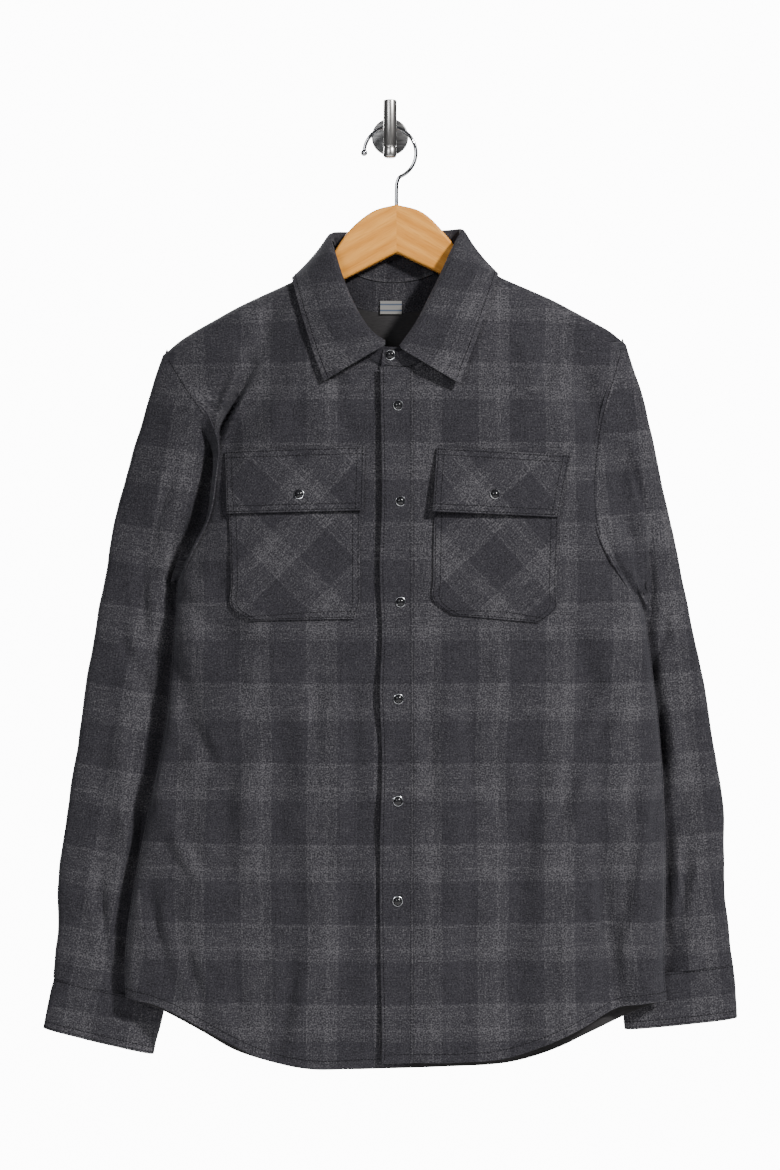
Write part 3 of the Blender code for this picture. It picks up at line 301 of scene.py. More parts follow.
CUFF_LEFT_END = SleeveRow(19, 354.9, -902.2, 239.6, -914.1, -17, -17, 11.5, 11.0)
SLEEVE_STATIONS = 17
CAP_BLEND = (1.0, 0.5, 0.22, 0.07)
SLEEVE_POWER = 2.5

# Pockets: rows from the top down, with the cut corners in the last step
PocketRow = namedtuple("PocketRow", "x0 z0 x1 z1")
POCKET_RIGHT = [
    PocketRow(-162, -345, -29, -343), PocketRow(-161.5, -367, -29, -365),
    PocketRow(-161.2, -389, -29.4, -387), PocketRow(-160.6, -413, -29.6, -411),
    PocketRow(-159.8, -437, -29.8, -434), PocketRow(-159.3, -460, -29.8, -457),
    PocketRow(-159, -481.8, -30, -479), PocketRow(-139.6, -496, -35, -494),
]
POCKET_LEFT = [
    PocketRow(45, -344, 169.5, -350), PocketRow(44.5, -366, 169, -371),
    PocketRow(44, -388, 168.4, -393), PocketRow(43.4, -411, 167.8, -416),
    PocketRow(43, -434, 167, -439), PocketRow(42.8, -455, 166.2, -462),
    PocketRow(42.8, -475, 165.5, -484), PocketRow(61.6, -490, 148.4, -498),
]
FlapRow = namedtuple("FlapRow", "x0 z0 x1 z1 lift0 lift1")
FLAP_RIGHT = [
    FlapRow(-166.5, -325.7, -25.1, -322, 0.9, 0.9),
    FlapRow(-165.4, -343, -25.6, -340, 3.2, 3.2),
    FlapRow(-164.4, -366, -26.2, -363, 3.6, 4.0),
    FlapRow(-163.3, -389, -26.8, -386, 3.8, 5.0),
]
FLAP_LEFT = [
    FlapRow(46.7, -323, 181, -330.5, 0.9, 0.9),
    FlapRow(45.4, -341, 177, -349, 4.2, 3.2),
    FlapRow(43.8, -364, 172.6, -371, 6.6, 3.4),
    FlapRow(42.2, -387, 168.6, -392.5, 9.5, 3.6),
]
PATCH_TURN = math.radians(45)
PATCH_STARTS = {"right": (6.0, 18.0), "left": (30.0, 40.0)}
FLAP_START = (16.0, 9.0)

# Snaps: the piece each one sits on, its place, and whether it faces the front
Snap = namedtuple("Snap", "name piece x z front")
SNAPS = [
    Snap("snap_front_1", "placket", 8.0, -281.3, True),
    Snap("snap_front_2", "placket", 10.4, -376.8, True),
    Snap("snap_front_3", "placket", 10.4, -477.2, True),
    Snap("snap_front_4", "placket", 8.4, -573.5, True),
    Snap("snap_front_5", "placket", 8.0, -675.0, True),
    Snap("snap_front_6", "placket", 7.6, -775.0, True),
    Snap("snap_stand", "collar_stand", 0.2, -231.0, True),
    Snap("snap_flap_right", "flap_right", -90.5, -369.8, True),
    Snap("snap_flap_left", "flap_left", 104.4, -369.8, True),
    Snap("snap_cuff_right", "cuff_right", -318.0, -891.0, False),
    Snap("snap_cuff_left", "cuff_left", 326.0, -877.0, False),
]

# The hanger's outline beside the neck, from its middle out, and its arm ends
ARCH_RIGHT = [Spot(-14, -77.8), Spot(-29, -87.2), Spot(-43, -100.6), Spot(-56, -119),
              Spot(-66, -133.4)]
ARCH_LEFT = [Spot(27.5, -77.8), Spot(40, -85.6), Spot(54.5, -100.6), Spot(66, -114.5),
             Spot(78, -130.8)]
HANGER_APEX = Spot(6.6, -72.6)
HANGER_VEE = Spot(6.6, -121.8)
HOOK_NECK = (Spot(6.6, -60.0), Spot(6.8, -51.0), Spot(9.5, -44.5))
ARM_END_RIGHT_X = -202.0
ARM_END_LEFT_X = 214.0
ARM_DEPTH = 22.0
ARM_START_STEP = 10.0
ARM_TOP_STEPS = 12
ARM_TIP_STEP = 6.0
ARM_TIP_TOP = 5.0
ARM_TIP_LOW = 15.0
ARCH_STEP = 2.5

# The tape in the neck: its middle in X and Z, its size, and how it is bowed
TAB_CENTRE = (1.0, -176.2)
TAB_SIZE = (22.0, 1.0, 13.4)
TAB_BOW = 0.4
TAB_CUTS = 5
TAB_SHARP = 40.0

# Upright planes that tell a panel's outer side from its inner side
BODY_MID_Y = -36.0
SHOULDER_MID_Y = -21.0
SLEEVE_MID_Y = -18.0
NECK_MID_Y = -42.0

# Fineness of the shown cloth, its thickness, and how it runs on under its neighbour
CELL_BODY = 4.2
CELL_YOKE = 0.8 * CELL_BODY
CELL_SLEEVE = 4.4
CELL_SMALL = 2.6
SHELL = 1.3
LEAF_SHELL = 1.8
PLACKET_SHELL = 0.8 * PLACKET_THICK
PATCH_SHELL = 0.85
TUCK_UNDER = 7.0
TUCK_MIDDLE = 0.4
TUCK_DEEP = 1.1
SLEEVE_TUCK_DEEP = TUCK_DEEP + 0.4
EDGE_ROUND = 0.4
EDGE_STEPS = 2
SHARP_ANGLE = 60.0
SEAM_FADE = 14.0
STEP_FADE = 3.0
HOLLOW_EASE = 0.6
UV_SMOOTHS = 24

# The placket's free edge: lift, ripple and sway, and the lengths of their waves
PLACKET_LIFT = 3.6
PLACKET_RIPPLE = 0.9
PLACKET_SWAY = 1.1
PLACKET_COLUMNS = 8
RIPPLE_WAVES = (31.0, 1.7, 97.0)
SWAY_WAVES = (29.0, 1.6, 83.0)

# Plaid repeats: across, from a light band's edge, and down
REPEAT_ACROSS = 68.2
REPEAT_DOWN = 80.2
START_ACROSS = -84.2
START_DOWN = -557.9
WHOLE_REPEATS = 100.0
SHIFT_LEFT_FRONT = -36.0
SHIFT_BACK = 14.0

# Stitches
STITCH_PITCH = 3.3
STITCH_LONG = 2.9
STITCH_WIDE = 0.7
STITCH_HIGH = 0.3
STITCH_PROUD = 0.05
# A stitch's corners in halves of its length and width and in its height, and its faces
STITCH_FORM = ((-1, 0, 0), (-0.6, -1, 0.3), (-0.6, 1, 0.3), (-0.5, 0, 1), (0.5, 0, 1),
               (0.6, -1, 0.3), (0.6, 1, 0.3), (1, 0, 0), (0, 0, -1))
STITCH_FACES = ((0, 1, 3), (0, 3, 2), (1, 5, 4, 3), (3, 4, 6, 2), (5, 7, 4), (4, 7, 6),
                (0, 8, 1), (0, 2, 8), (1, 8, 5), (2, 6, 8), (5, 8, 7), (6, 7, 8))

# Creases drawn one by one: from and to in X and Z, how much they bow, half width, depth inwards
Crease = namedtuple("Crease", "x0 z0 x1 z1 bow width depth")
CREASES_FRONT = [
    Crease(-112, -175, -150, -256, 6, 9, 1.4), Crease(-136, -200, -184, -300, -6, 6, -1.2),
    Crease(-138, -240, -188, -352, 4, 5.5, 4.4),
    Crease(-196, -300, -150, -520, 14, 12, 1.8), Crease(-186, -360, -176, -470, 4, 7, -1.0),
    Crease(-214, -470, -150, -560, -10, 11, 1.7), Crease(-222, -520, -176, -640, 8, 9, 1.5),
    Crease(-236, -640, -186, -760, 10, 10, -1.4), Crease(-246, -720, -214, -880, 7, 9, 1.8),
    Crease(-70, -520, -64, -760, 6, 12, 1.1), Crease(-38, -560, -46, -900, -5, 10, 1.2),
    Crease(-110, -560, -140, -740, 9, 13, -1.2), Crease(-160, -640, -150, -900, 7, 11, 1.3),
    Crease(-94, -720, -112, -930, -6, 10, 1.5), Crease(-196, -780, -170, -900, 6, 9, -1.2),
    Crease(40, -530, 52, -780, 6, 12, 1.2), Crease(78, -560, 70, -920, -7, 11, 1.5),
    Crease(108, -540, 140, -700, 9, 12, -1.2), Crease(150, -610, 132, -910, 8, 10, 1.3),
    Crease(196, -520, 168, -700, -9, 12, 1.8), Crease(212, -640, 226, -860, 6, 10, 1.9),
    Crease(238, -560, 204, -650, 8, 10, 1.6), Crease(256, -650, 240, -840, -6, 9, -1.5),
    Crease(262, -740, 250, -870, 4, 7, 1.4), Crease(186, -760, 178, -900, 5, 8, -1.1),
    Crease(196, -250, 214, -400, -7, 10, 1.7), Crease(214, -250, 200, -340, 6, 7, -1.1),
    Crease(180, -200, 150, -300, 8, 11, 1.2), Crease(110, -190, 124, -310, -6, 12, 0.9),
    Crease(-52, -250, -40, -318, 4, 9, 0.9), Crease(-96, -260, -120, -318, 5, 9, -0.9),
]
CREASES_BACK = [
    Crease(-150, -300, -120, -560, 12, 13, 1.7), Crease(-60, -300, -84, -620, -9, 12, -1.5),
    Crease(20, -300, 6, -540, 8, 13, 1.4), Crease(96, -300, 112, -600, -8, 12, 1.6),
    Crease(160, -300, 140, -520, 7, 10, -1.3), Crease(-110, -560, -96, -900, 9, 12, 1.7),
    Crease(-20, -600, -34, -930, -7, 12, 1.5), Crease(52, -560, 66, -900, 9, 13, -1.4),
    Crease(128, -580, 118, -880, -8, 12, 1.8), Crease(190, -620, 196, -860, 5, 9, 1.4),
    Crease(-190, -560, -178, -840, 6, 10, 1.5), Crease(-150, -420, -196, -520, -7, 9, 1.4),
    Crease(170, -420, 214, -540, 6, 9, 1.4),
]
# On a sleeve: from and to along it and round it, both 0 to 1
SLEEVE_CREASES = [
    Crease(0.02, 0.30, 0.16, 0.16, 0.03, 0.044, 1.6), Crease(0.10, 0.36, 0.28, 0.26, -0.03, 0.050, 1.3),
    Crease(0.22, 0.14, 0.44, 0.22, 0.03, 0.040, 1.1),
    Crease(0.30, 0.40, 0.50, 0.26, 0.02, 0.030, 2.0), Crease(0.42, 0.08, 0.52, 0.24, -0.02, 0.024, 1.7),
    Crease(0.44, 0.44, 0.58, 0.34, 0.02, 0.026, 1.9), Crease(0.52, 0.12, 0.74, 0.20, 0.03, 0.030, -1.5),
    Crease(0.60, 0.42, 0.80, 0.30, 0.02, 0.028, 1.7), Crease(0.74, 0.10, 0.96, 0.18, 0.02, 0.026, 1.8),
    Crease(0.80, 0.38, 0.99, 0.34, -0.02, 0.022, 1.9), Crease(0.88, 0.24, 1.00, 0.26, 0.01, 0.020, -1.5),
    Crease(0.05, 0.70, 0.28, 0.62, 0.03, 0.034, 1.8), Crease(0.30, 0.84, 0.52, 0.72, -0.03, 0.030, 1.9),
    Crease(0.46, 0.60, 0.64, 0.74, 0.02, 0.028, -1.5), Crease(0.62, 0.86, 0.84, 0.76, 0.02, 0.028, 1.8),
    Crease(0.80, 0.62, 0.99, 0.68, 0.02, 0.024, 1.8),
]
# On a sleeve's front, in X and Z: the soft folds a way out from the armhole
SLEEVE_FOLDS = {
    "right": [Crease(-232, -520, -262, -760, 0, 12, 2.0), Crease(-262, -760, -270, -880, 0, 11, 2.0)],
    "left": [Crease(238, -260, 236, -361, -2, 14, 2.0), Crease(236, -361, 248, -430, 3, 13, 2.0),
             Crease(272, -560, 282, -700, 0, 10, 1.4), Crease(282, -700, 284, -880, 0, 10, 1.4)],
}
# Where a sleeve's front falls back behind the body's edge: height, width and depth
Hollow = namedtuple("Hollow", "z width depth")
HOLLOWS = {
    "right": [Hollow(-910, 8, 0), Hollow(-870, 10, 6), Hollow(-700, 10, 9), Hollow(-520, 9, 9),
              Hollow(-475, 8, 10), Hollow(-452, 12, 20), Hollow(-422, 19, 30), Hollow(-392, 20, 32),
              Hollow(-360, 15, 30), Hollow(-335, 11, 26), Hollow(-318, 9, 20), Hollow(-300, 6, 6),
              Hollow(-290, 4, 0)],
    "left": [Hollow(-910, 8, 0), Hollow(-870, 9, 4), Hollow(-560, 8, 5), Hollow(-484, 6, 3),
             Hollow(-440, 5, 3), Hollow(-360, 5, 2), Hollow(-290, 4, 0)],
}
HOLLOW_BACK_Y = -16.0

# A crease's form: depth, the ridges beside its trough, and how it varies along its length
CREASE_GAIN = 3.0
RIDGE_PLACE = 1.7
RIDGE_SHARE = 0.35
WIDTH_SWING = 0.3
WIDTH_TURNS = 5.0
DEPTH_LEAST = 0.8
DEPTH_SWING = 0.35
DEPTH_TURNS = 9.0
END_SHARE = 0.12
END_POWER = 0.6
# A sleeve's creases: how far they turn round it, and where its face is broad enough for them
CREASE_TURN = 0.07
CREASE_FACING = (1.6, -0.3)
SLEEVE_WAVES = 1.1
CUFF_WAVES = 2.0
CUFF_WAVE_DEPTH = 0.5
CUFF_SEED = 6.0
SLEEVE_SEEDS = (("right", 4.0), ("left", 5.0))

# Long soft waves that keep a panel from being smooth: wavelength, turn and height
Wave = namedtuple("Wave", "length turn height start")
WAVES = [
    Wave(173, 0.4, 0.55, 0.3), Wave(121, 1.3, 0.45, 1.9), Wave(83, 2.2, 0.32, 4.1),
    Wave(61, 0.9, 0.22, 2.2), Wave(43, 2.8, 0.16, 5.3), Wave(29, 1.9, 0.10, 0.8),
]
WAVE_SEED_TURN = 0.7
WAVE_BEND = 1.3

# Plaid levels along one repeat of each yarn system, from a light band's start
WARP_BANDS = (
    (0.000, 0.17), (0.008, 0.285), (0.030, 0.31), (0.045, 0.265), (0.120, 0.275), (0.135, 0.30),
    (0.150, 0.265), (0.265, 0.275), (0.290, 0.33), (0.330, 0.345), (0.350, 0.29), (0.420, 0.27),
    (0.440, 0.31), (0.458, 0.27), (0.470, 0.175), (0.560, 0.17), (0.575, 0.20), (0.590, 0.17),
    (0.735, 0.165), (0.750, 0.205), (0.765, 0.17), (0.890, 0.168), (0.900, 0.20), (0.915, 0.17),
    (1.000, 0.17),
)
WEFT_BANDS = (
    (0.000, 0.17), (0.010, 0.30), (0.040, 0.325), (0.060, 0.275), (0.160, 0.27), (0.175, 0.295),
    (0.190, 0.265), (0.290, 0.275), (0.310, 0.33), (0.345, 0.335), (0.365, 0.28), (0.440, 0.27),
    (0.455, 0.295), (0.468, 0.265), (0.480, 0.175), (0.620, 0.17), (0.632, 0.20), (0.645, 0.17),
    (0.830, 0.168), (0.842, 0.20), (0.855, 0.17), (1.000, 0.17),
)
# How far the bands wander and fray: noise scale, its detail and the reach in metres
BAND_SHIFTS = ((9.0, 1.0, 0.0030), (420.0, 2.0, 0.0045))
# How far the yarns, flecks, patches and clouds swing the grey
YARN = 2.0
FLECK = 1.6
PATCH = 0.2
CLOUD = 0.2
SWING = 3.0
TWILL_TURN = 0.9
CLOTH_COLOURS = (
    (0.06, (0.0015, 0.0015, 0.002)), (0.34, (0.0180, 0.0170, 0.0218)), (0.47, (0.0250, 0.0240, 0.0284)),
    (0.60, (0.0345, 0.0333, 0.0372)), (0.90, (0.076, 0.0740, 0.0800)),
)
# Thread colours: near black, darker than the thread itself, so that each stitch row also stands for the
# shadow in its groove: the thread's own dark grey with painted groove shade
THREAD_AND_GROOVE_SHADE_COLOURS = ((0.2, (0.002, 0.002, 0.0025)), (0.8, (0.008, 0.008, 0.010)))
INNER_COLOURS = ((0.3, (0.017, 0.0162, 0.0168)), (0.7, (0.036, 0.0345, 0.0355)))
WOOD_COLOURS = (
    (0.22, (0.46, 0.165, 0.020)), (0.42, (0.56, 0.225, 0.034)), (0.60, (0.64, 0.275, 0.048)),
    (0.85, (0.74, 0.35, 0.075)),
)
PORE_COLOUR = (0.38, 0.12, 0.02)
ENAMEL_COLOURS = ((0.3, (0.006, 0.006, 0.007)), (0.7, (0.014, 0.014, 0.016)))
TAPE_BASE = (0.20, 0.195, 0.185)
TAPE_BAR = (0.05, 0.07, 0.11)
# Up the tape: plain, bar, plain, bar, plain
TAPE_BANDS = ((0.0, TAPE_BASE), (0.20, TAPE_BASE), (0.22, TAPE_BAR), (0.32, TAPE_BAR),
              (0.34, TAPE_BASE), (0.66, TAPE_BASE), (0.68, TAPE_BAR), (0.78, TAPE_BAR),
              (0.80, TAPE_BASE), (1.0, TAPE_BASE))

# A sleeve's plaid: its lean, and its shifts round and along the sleeve
Lay = namedtuple("Lay", "lean around along")
SLEEVE_LAY = {
    "right": Lay(math.radians(10.4), 12.2, 29.1),
    "left": Lay(math.radians(-5.5), 36.5, -0.8),
}
SLEEVE_STRETCH = 0.97
STAND_START = (10.0, 20.0)
LEAF_START = (30.0, 0.0)

# Stitched seams: the piece, its edges, and how far in from them each line runs
Seam = namedtuple("Seam", "piece edges insets")
SEAMS = [
    Seam(kind + side, edges, insets)
    for side in ("right", "left")
    for kind, edges, insets in (
        ("pocket_", ("first", "last", "bottom"), (2.0, 7.5)),
        ("flap_", ("first", "last", "bottom", "top"), (2.0, 7.5)),
        ("cuff_", ("top",), (2.0,)),
        ("cuff_", ("bottom",), (2.5, 8.0)),
        ("front_", ("bottom",), (9.0,)),
        ("front_", ("first",), (3.0,)),
    )
] + [
    Seam("back", ("bottom",), (9.0,)),
    Seam("placket", ("first",), (2.0,)),
    Seam("placket", ("last",), (3.0,)),
    Seam("placket", ("bottom",), (9.0,)),
    Seam("collar_leaf", ("bottom",), (5.0,)),
    Seam("collar_stand", ("bottom",), (2.0,)),
    Seam("yoke", ("bottom",), (2.0,)),
]

# Turned profiles: radius and height
RING_PROFILE = ((4.4, 0.8), (4.5, 1.0), (4.8, 1.05), (5.1, 0.9), (5.25, 0.6), (5.25, 0.0),
                (4.35, 0.0), (4.35, 0.7), (4.4, 0.8))
CAP_PROFILE = ((0.0, 2.9), (0.9, 2.84), (1.8, 2.62), (2.6, 2.28), (3.3, 1.8), (3.9, 1.2),
               (4.25, 0.7), (4.3, 0.3), (4.3, 0.1), (0.0, 0.1))
PLATE_PROFILE = ((0, 5), (17.4, 5), (18.2, 4.8), (18.6, 4.4), (18.8, 3.9), (18.8, 0.4),
                 (18.5, 0), (0, 0))
BAR_PROFILE = ((0, 30.5), (5.6, 30.5), (6.2, 30.3), (6.6, 29.9), (6.7, 29.4), (6.7, -16.2),
               (6.5, -16.6), (6.0, -16.9), (6.0, -17.9), (6.5, -18.2), (6.7, -18.6),
               (6.7, -25.4), (6.4, -26.4), (5.6, -27.5), (4.4, -28.2), (2.7, -28.5), (0, -28.5))
TURN_SHARP = 35.0
TURN_MERGE = 0.00001
SNAP_PROUD = 0.1

# Metals: dark and light of their streaks, roughness, and how the streaks are drawn out
Metal = namedtuple("Metal", "dark light rough stretch")
METALS = {
    "snap_chrome": Metal((0.36, 0.37, 0.39), (0.52, 0.53, 0.55), 0.20, (300.0, 300.0, 300.0)),
    "hook_chrome": Metal((0.34, 0.35, 0.37), (0.50, 0.51, 0.53), 0.10, (120.0, 120.0, 120.0)),
    "brushed_steel": Metal((0.33, 0.32, 0.31), (0.52, 0.51, 0.49), 0.30, (900.0, 900.0, 40.0)),
    "plate_steel": Metal((0.05, 0.05, 0.05), (0.20, 0.20, 0.20), 0.36, (60.0, 60.0, 500.0)),
}

# Camera, floor, backdrop and lights, in metres; the focal length is in the photo's pixels
CAMERA_PLACE = (0.0, -2.5, -0.46029)
SENSOR = 36.0
FOCAL_PIXELS = 2430.0
PHOTO_HEIGHT = 1170.0
CLIP_END = 30.0
FLOOR_Z = -1.26
FLOOR_Y = -1.0
FLOOR_RADIUS = 1.6
FLOOR_SIDES = 96
SURROUND = (0.95, 0.96, 1.0)
SURROUND_STRENGTH = 0.09
BACKDROP_Y = 5.2
BACKDROP_HALF = (1.7, 2.4)
BACKDROP_GLOW = 12.0
LIGHT_TARGET = (0.0, 0.0, -0.5)
Light = namedtuple("Light", "name place size power colour")
LIGHTS = (
    Light("key", (3.8, -4.2, 2.9), 0.7, 790.0, (1.0, 0.985, 0.97)),
    Light("fill", (-1.9, -4.2, 1.2), 1.6, 84.0, (0.97, 0.98, 1.0)),
    Light("back", (-1.2, 2.2, 0.9), 1.2, 60.0, (1.0, 1.0, 1.0)),
)


def clamp(value, low=0.0, high=1.0):
    return max(low, min(high, value))


def ease(value):
    """Smooth step from 0 to 1."""
    value = clamp(value)
    return value * value * (3.0 - 2.0 * value)


def mix(a, b, share):
    """A share of the way from a to b."""
    return a + (b - a) * share


def swell(reach, power):
    """A rounded rise from 0 to 1, steep at its start."""
    return (1.0 - (1.0 - clamp(reach)) ** power) ** (1.0 / power)


def curve_at(t, a, b, slope_a, slope_b, span):
    """A smooth curve between two values with their slopes, a share t of the way."""
    return ((2 * t**3 - 3 * t**2 + 1) * a + (t**3 - 2 * t**2 + t) * span * slope_a
            + (3 * t**2 - 2 * t**3) * b + (t**3 - t**2) * span * slope_b)


def smooth_row(rows, at, key=0):
    """The row of a table at a value of its key column, on a smooth curve through its rows."""
    rising = rows[-1][key] > rows[0][key]
    last = len(rows) - 2
    low = 0
    while low < last and (at > rows[low + 1][key]) == rising and at != rows[low + 1][key]:
        low += 1
    a, b = rows[low], rows[low + 1]
    before = rows[max(low - 1, 0)]
    after = rows[min(low + 2, len(rows) - 1)]
    span = b[key] - a[key]
    t = clamp((at - a[key]) / span)
    values = []
    for i in range(len(a)):
        slope_a = (b[i] - before[i]) / (b[key] - before[key])
        slope_b = (after[i] - a[i]) / (after[key] - a[key])
        values.append(curve_at(t, a[i], b[i], slope_a, slope_b, span))
    return type(a)(*values)


def bow(reach):
    """Rise of the shoulder line over a straight one, by the way out from the neck."""
    return BOW_RISE * ease((reach - BOW_START) / BOW_FULL) * ease((BOW_END - reach) / BOW_FADE)


def roof(x):
    """Height of the shoulders' top line, both slopes meeting over the neck."""
    reach_right = NECK_TOP_RIGHT[0] - x
    reach_left = x - NECK_TOP_LEFT[0]
    right = NECK_TOP_RIGHT[1] - SLOPE_RIGHT * reach_right + bow(reach_right)
    left = NECK_TOP_LEFT[1] - SLOPE_LEFT * reach_left + bow(reach_left)
    return min(right, left)


def fold_depth(folds, x, z):
    """Sum of the soft folds at a place, each fading at its ends."""
    total = 0.0
    for fold in folds:
        run = Vector((fold.x1 - fold.x0, fold.z1 - fold.z0))
        off = Vector((x - fold.x0, z - fold.z0))
        t = off.dot(run) / run.length_squared
        away = (off - run * clamp(t)).length
        total += fold.depth * math.exp(-((away / fold.width) ** 2))
    return total


def side_of(row, x):
    """The side edge's X and Y on the half that x lies in."""
    if x < CENTRE_X:
        return row.right, row.right_y
    return row.left, row.left_y


def front_y(x, z):
    """Depth of the front of the body."""
    row = smooth_row(BODY, z)
    side, side_y = side_of(row, x)
    reach = (x - side) / (CENTRE_X - side)
    rise = swell(reach, FRONT_POWER) * swell((roof(x) - z) / FRONT_DROP, ROUND_POWER)
    fold = fold_depth(FRONT_FOLDS, x, z) * ease(rise * FOLD_ONSET)
    return side_y + (row.front - side_y) * rise + fold


def back_y(x, z):
    """Depth of the back of the body, tucked forward below the arms."""
    row = smooth_row(BODY, z)
    side, side_y = side_of(row, x)
    inward = abs(x - side)
    rise = swell(inward / OPEN_REACH, ROUND_POWER)
    rise *= swell((roof(x) - z) / BACK_DROP, ROUND_POWER)
    open_y = side_y + (row.back - side_y) * rise
    tuck_x = TUCK_RIGHT_X if x < CENTRE_X else TUCK_LEFT_X
    edge_y = side_y + TUCK_ROUND * swell(inward / TUCK_ROUND_REACH, ROUND_POWER)
    inner = ease((inward - abs(side - tuck_x)) / TUCK_EASE)
    tucked_y = edge_y + (row.back - edge_y) * inner
    y = mix(open_y, tucked_y, ease((TUCK_TOP_Z - z) / TUCK_FULL))
    return y + fold_depth(BACK_FOLDS, x, z) * ease(rise) * inner


def front_point(spot, lift=0.0):
    """The place on the body's front at a spot, lifted towards the viewer."""
    return Vector((spot.x, front_y(spot.x, spot.z) - lift, spot.z))


def back_point(spot):
    """The place on the body's back at a spot."""
    return Vector((spot.x, back_y(spot.x, spot.z), spot.z))


def side_spots(arm, side_key, hem_z):
    """The armhole's spots and then the side seam's, down to the hem."""
    armpit = arm[-1].z
    spots = list(arm)
    for k in range(1, SIDE_STEPS + 1):
        z = mix(armpit, hem_z, k / SIDE_STEPS)
        spots.append(Spot(getattr(smooth_row(BODY, z), side_key), z))
    return spots


def centre_spots(neck, hem_z):
    """The neckline's spots and then the front edge's, down to the hem."""
    start = neck[-1]
    spots = list(neck)
    for k in range(1, SIDE_STEPS + 1):
        spots.append(Spot(start.x, mix(start.z, hem_z, k / SIDE_STEPS)))
    return spots


def hem_shift(hem, x, start, end, row, rows):
    """How far a row bends towards the hem's own curve, more in the lower rows."""
    share = ease((row / rows - HEM_BEND_FROM) / (1.0 - HEM_BEND_FROM))
    straight = mix(start.z, end.z, (x - start.x) / (end.x - start.x))
    return (smooth_row(hem, x).z - straight) * share


def front_grid(sides, centres, edge_lift):
    """Rows from the shoulder down, columns from the side to the front edge."""
    rows = len(sides) - 1
    grid = []
    for r, (side, centre) in enumerate(zip(sides, centres)):
        line = []
        for s in ACROSS:
            x = mix(side.x, centre.x, s)
            z = mix(side.z, centre.z, s)
            if 0.0 < s < 1.0:
                z += hem_shift(HEM_FRONT, x, sides[-1], centres[-1], r, rows)
            lift = edge_lift * ease(x / UNDER_EASE + 1.0)
            line.append(front_point(Spot(x, z), lift))
        grid.append(line)
    return grid


def yoke_grid():
    """Rows from the forward seams over the shoulders to the back seam, armhole to armhole."""
    grid = []
    for row in YOKE_ROWS:
        line = []
        ends = ((row.arm_right, row.neck_right), (row.arm_left, row.neck_left))
        for side, (arm_x, neck_x) in enumerate(ends):
            run = []
            for s in ACROSS:
                x = mix(arm_x, neck_x, s)
                spot = Spot(x, roof(x) - row.drop)
                run.append(front_point(spot) if row.front else back_point(spot))
            if side == 0:
                line += run
                line += [back_point(spot) for spot in BACK_NECK]
            else:
                line += reversed(run)
        grid.append(line)
    seam_ends = (ARM_BACK_RIGHT[0].x, ARM_BACK_LEFT[0].x)
    for z, arms, necks in ((YOKE_MID_Z, YOKE_MID_ENDS, YOKE_MID_NECK),
                           (YOKE_SEAM_Z, seam_ends, YOKE_SEAM_NECK)):
        right = [mix(arms[0], necks[0], s) for s in ACROSS]
        left = [mix(arms[1], necks[1], s) for s in ACROSS]
        across = right + list(BACK_NECK_SEAM_X) + left[::-1]
        grid.append([back_point(Spot(x, z)) for x in across])
    return grid


def back_grid(sides_right, sides_left, seam):
    """Rows from the yoke seam down, on the yoke seam's columns."""
    first, last = seam[0].x, seam[-1].x
    shares = [(point.x - first) / (last - first) for point in seam]
    rows = len(sides_right) - 1
    grid = [list(seam)]
    for r in range(1, rows + 1):
        right, left = sides_right[r], sides_left[r]
        line = []
        for s in shares:
            x = mix(right.x, left.x, s)
            z = mix(right.z, left.z, s)
            if 0.0 < s < 1.0:
                z += hem_shift(HEM_BACK, x, sides_right[-1], sides_left[-1], r, rows)
            line.append(back_point(Spot(x, z)))
        grid.append(line)
    return grid


def tube_ring(row, count_front, count_back):
    """A flattened ring from the outer edge over the front to the inner edge and back."""
    outer = Vector((row.out_x, row.out_y, row.out_z))
    inner = Vector((row.in_x, row.in_y, row.in_z))
    middle, half = (outer + inner) / 2, (outer - inner) / 2
    ring = []
    for k in range(count_front + count_back):
        if k <= count_front:
            angle = math.pi * k / count_front
        else:
            angle = math.pi + math.pi * (k - count_front) / count_back
        c, s = math.cos(angle), math.sin(angle)
        across = math.copysign(abs(c) ** (2 / SLEEVE_POWER), c)
        depth = abs(s) ** (2 / SLEEVE_POWER)
        push = -row.front * depth if s > 0 else row.back * depth
        ring.append(middle + half * across + Vector((0, push, 0)))
    return ring


def sleeve_grid(table, armhole, count_front, count_back):
    """The armhole's ring first, then rings that lose its shape one by one."""
    grid = [armhole]
    for k in range(1, SLEEVE_STATIONS + 1):
        ring = tube_ring(smooth_row(table, k), count_front, count_back)
        share = CAP_BLEND[k] if k < len(CAP_BLEND) else 0.0
        grid.append([p * (1 - share) + a * share for p, a in zip(ring, armhole)])
    return grid


def armhole_ring(front, yoke, back):
    """Points round an armhole from the shoulder's top, down the front and up the back."""
    front_down = [yoke[YOKE_TOP_ROW], yoke[YOKE_TOP_ROW - 1]] + front
    yoke_up = yoke[YOKE_TOP_ROW + YOKE_BACK_ROWS:YOKE_TOP_ROW:-1]
    return front_down + back[::-1][1:] + yoke_up


def neck_points(front_right, yoke, front_left):
    """The neck seam from the under end, round the back, to the upper end at the placket."""
    right_end = len(ACROSS) - 1
    left_end = right_end + len(BACK_NECK) + 1
    over = yoke[1:len(YOKE_ROWS)]
    points = [row[-1] for row in front_right[UNDER_END_ROW::-1]]
    points += [row[right_end] for row in over]
    points += over[-1][right_end + 1:left_end]
    points += [row[left_end] for row in reversed(over)]
    points += [row[-1] for row in front_left[:UPPER_END_ROW + 1]]
    points.append(front_point(STAND_OVER_END, STAND_OVER_OUT))
    return points


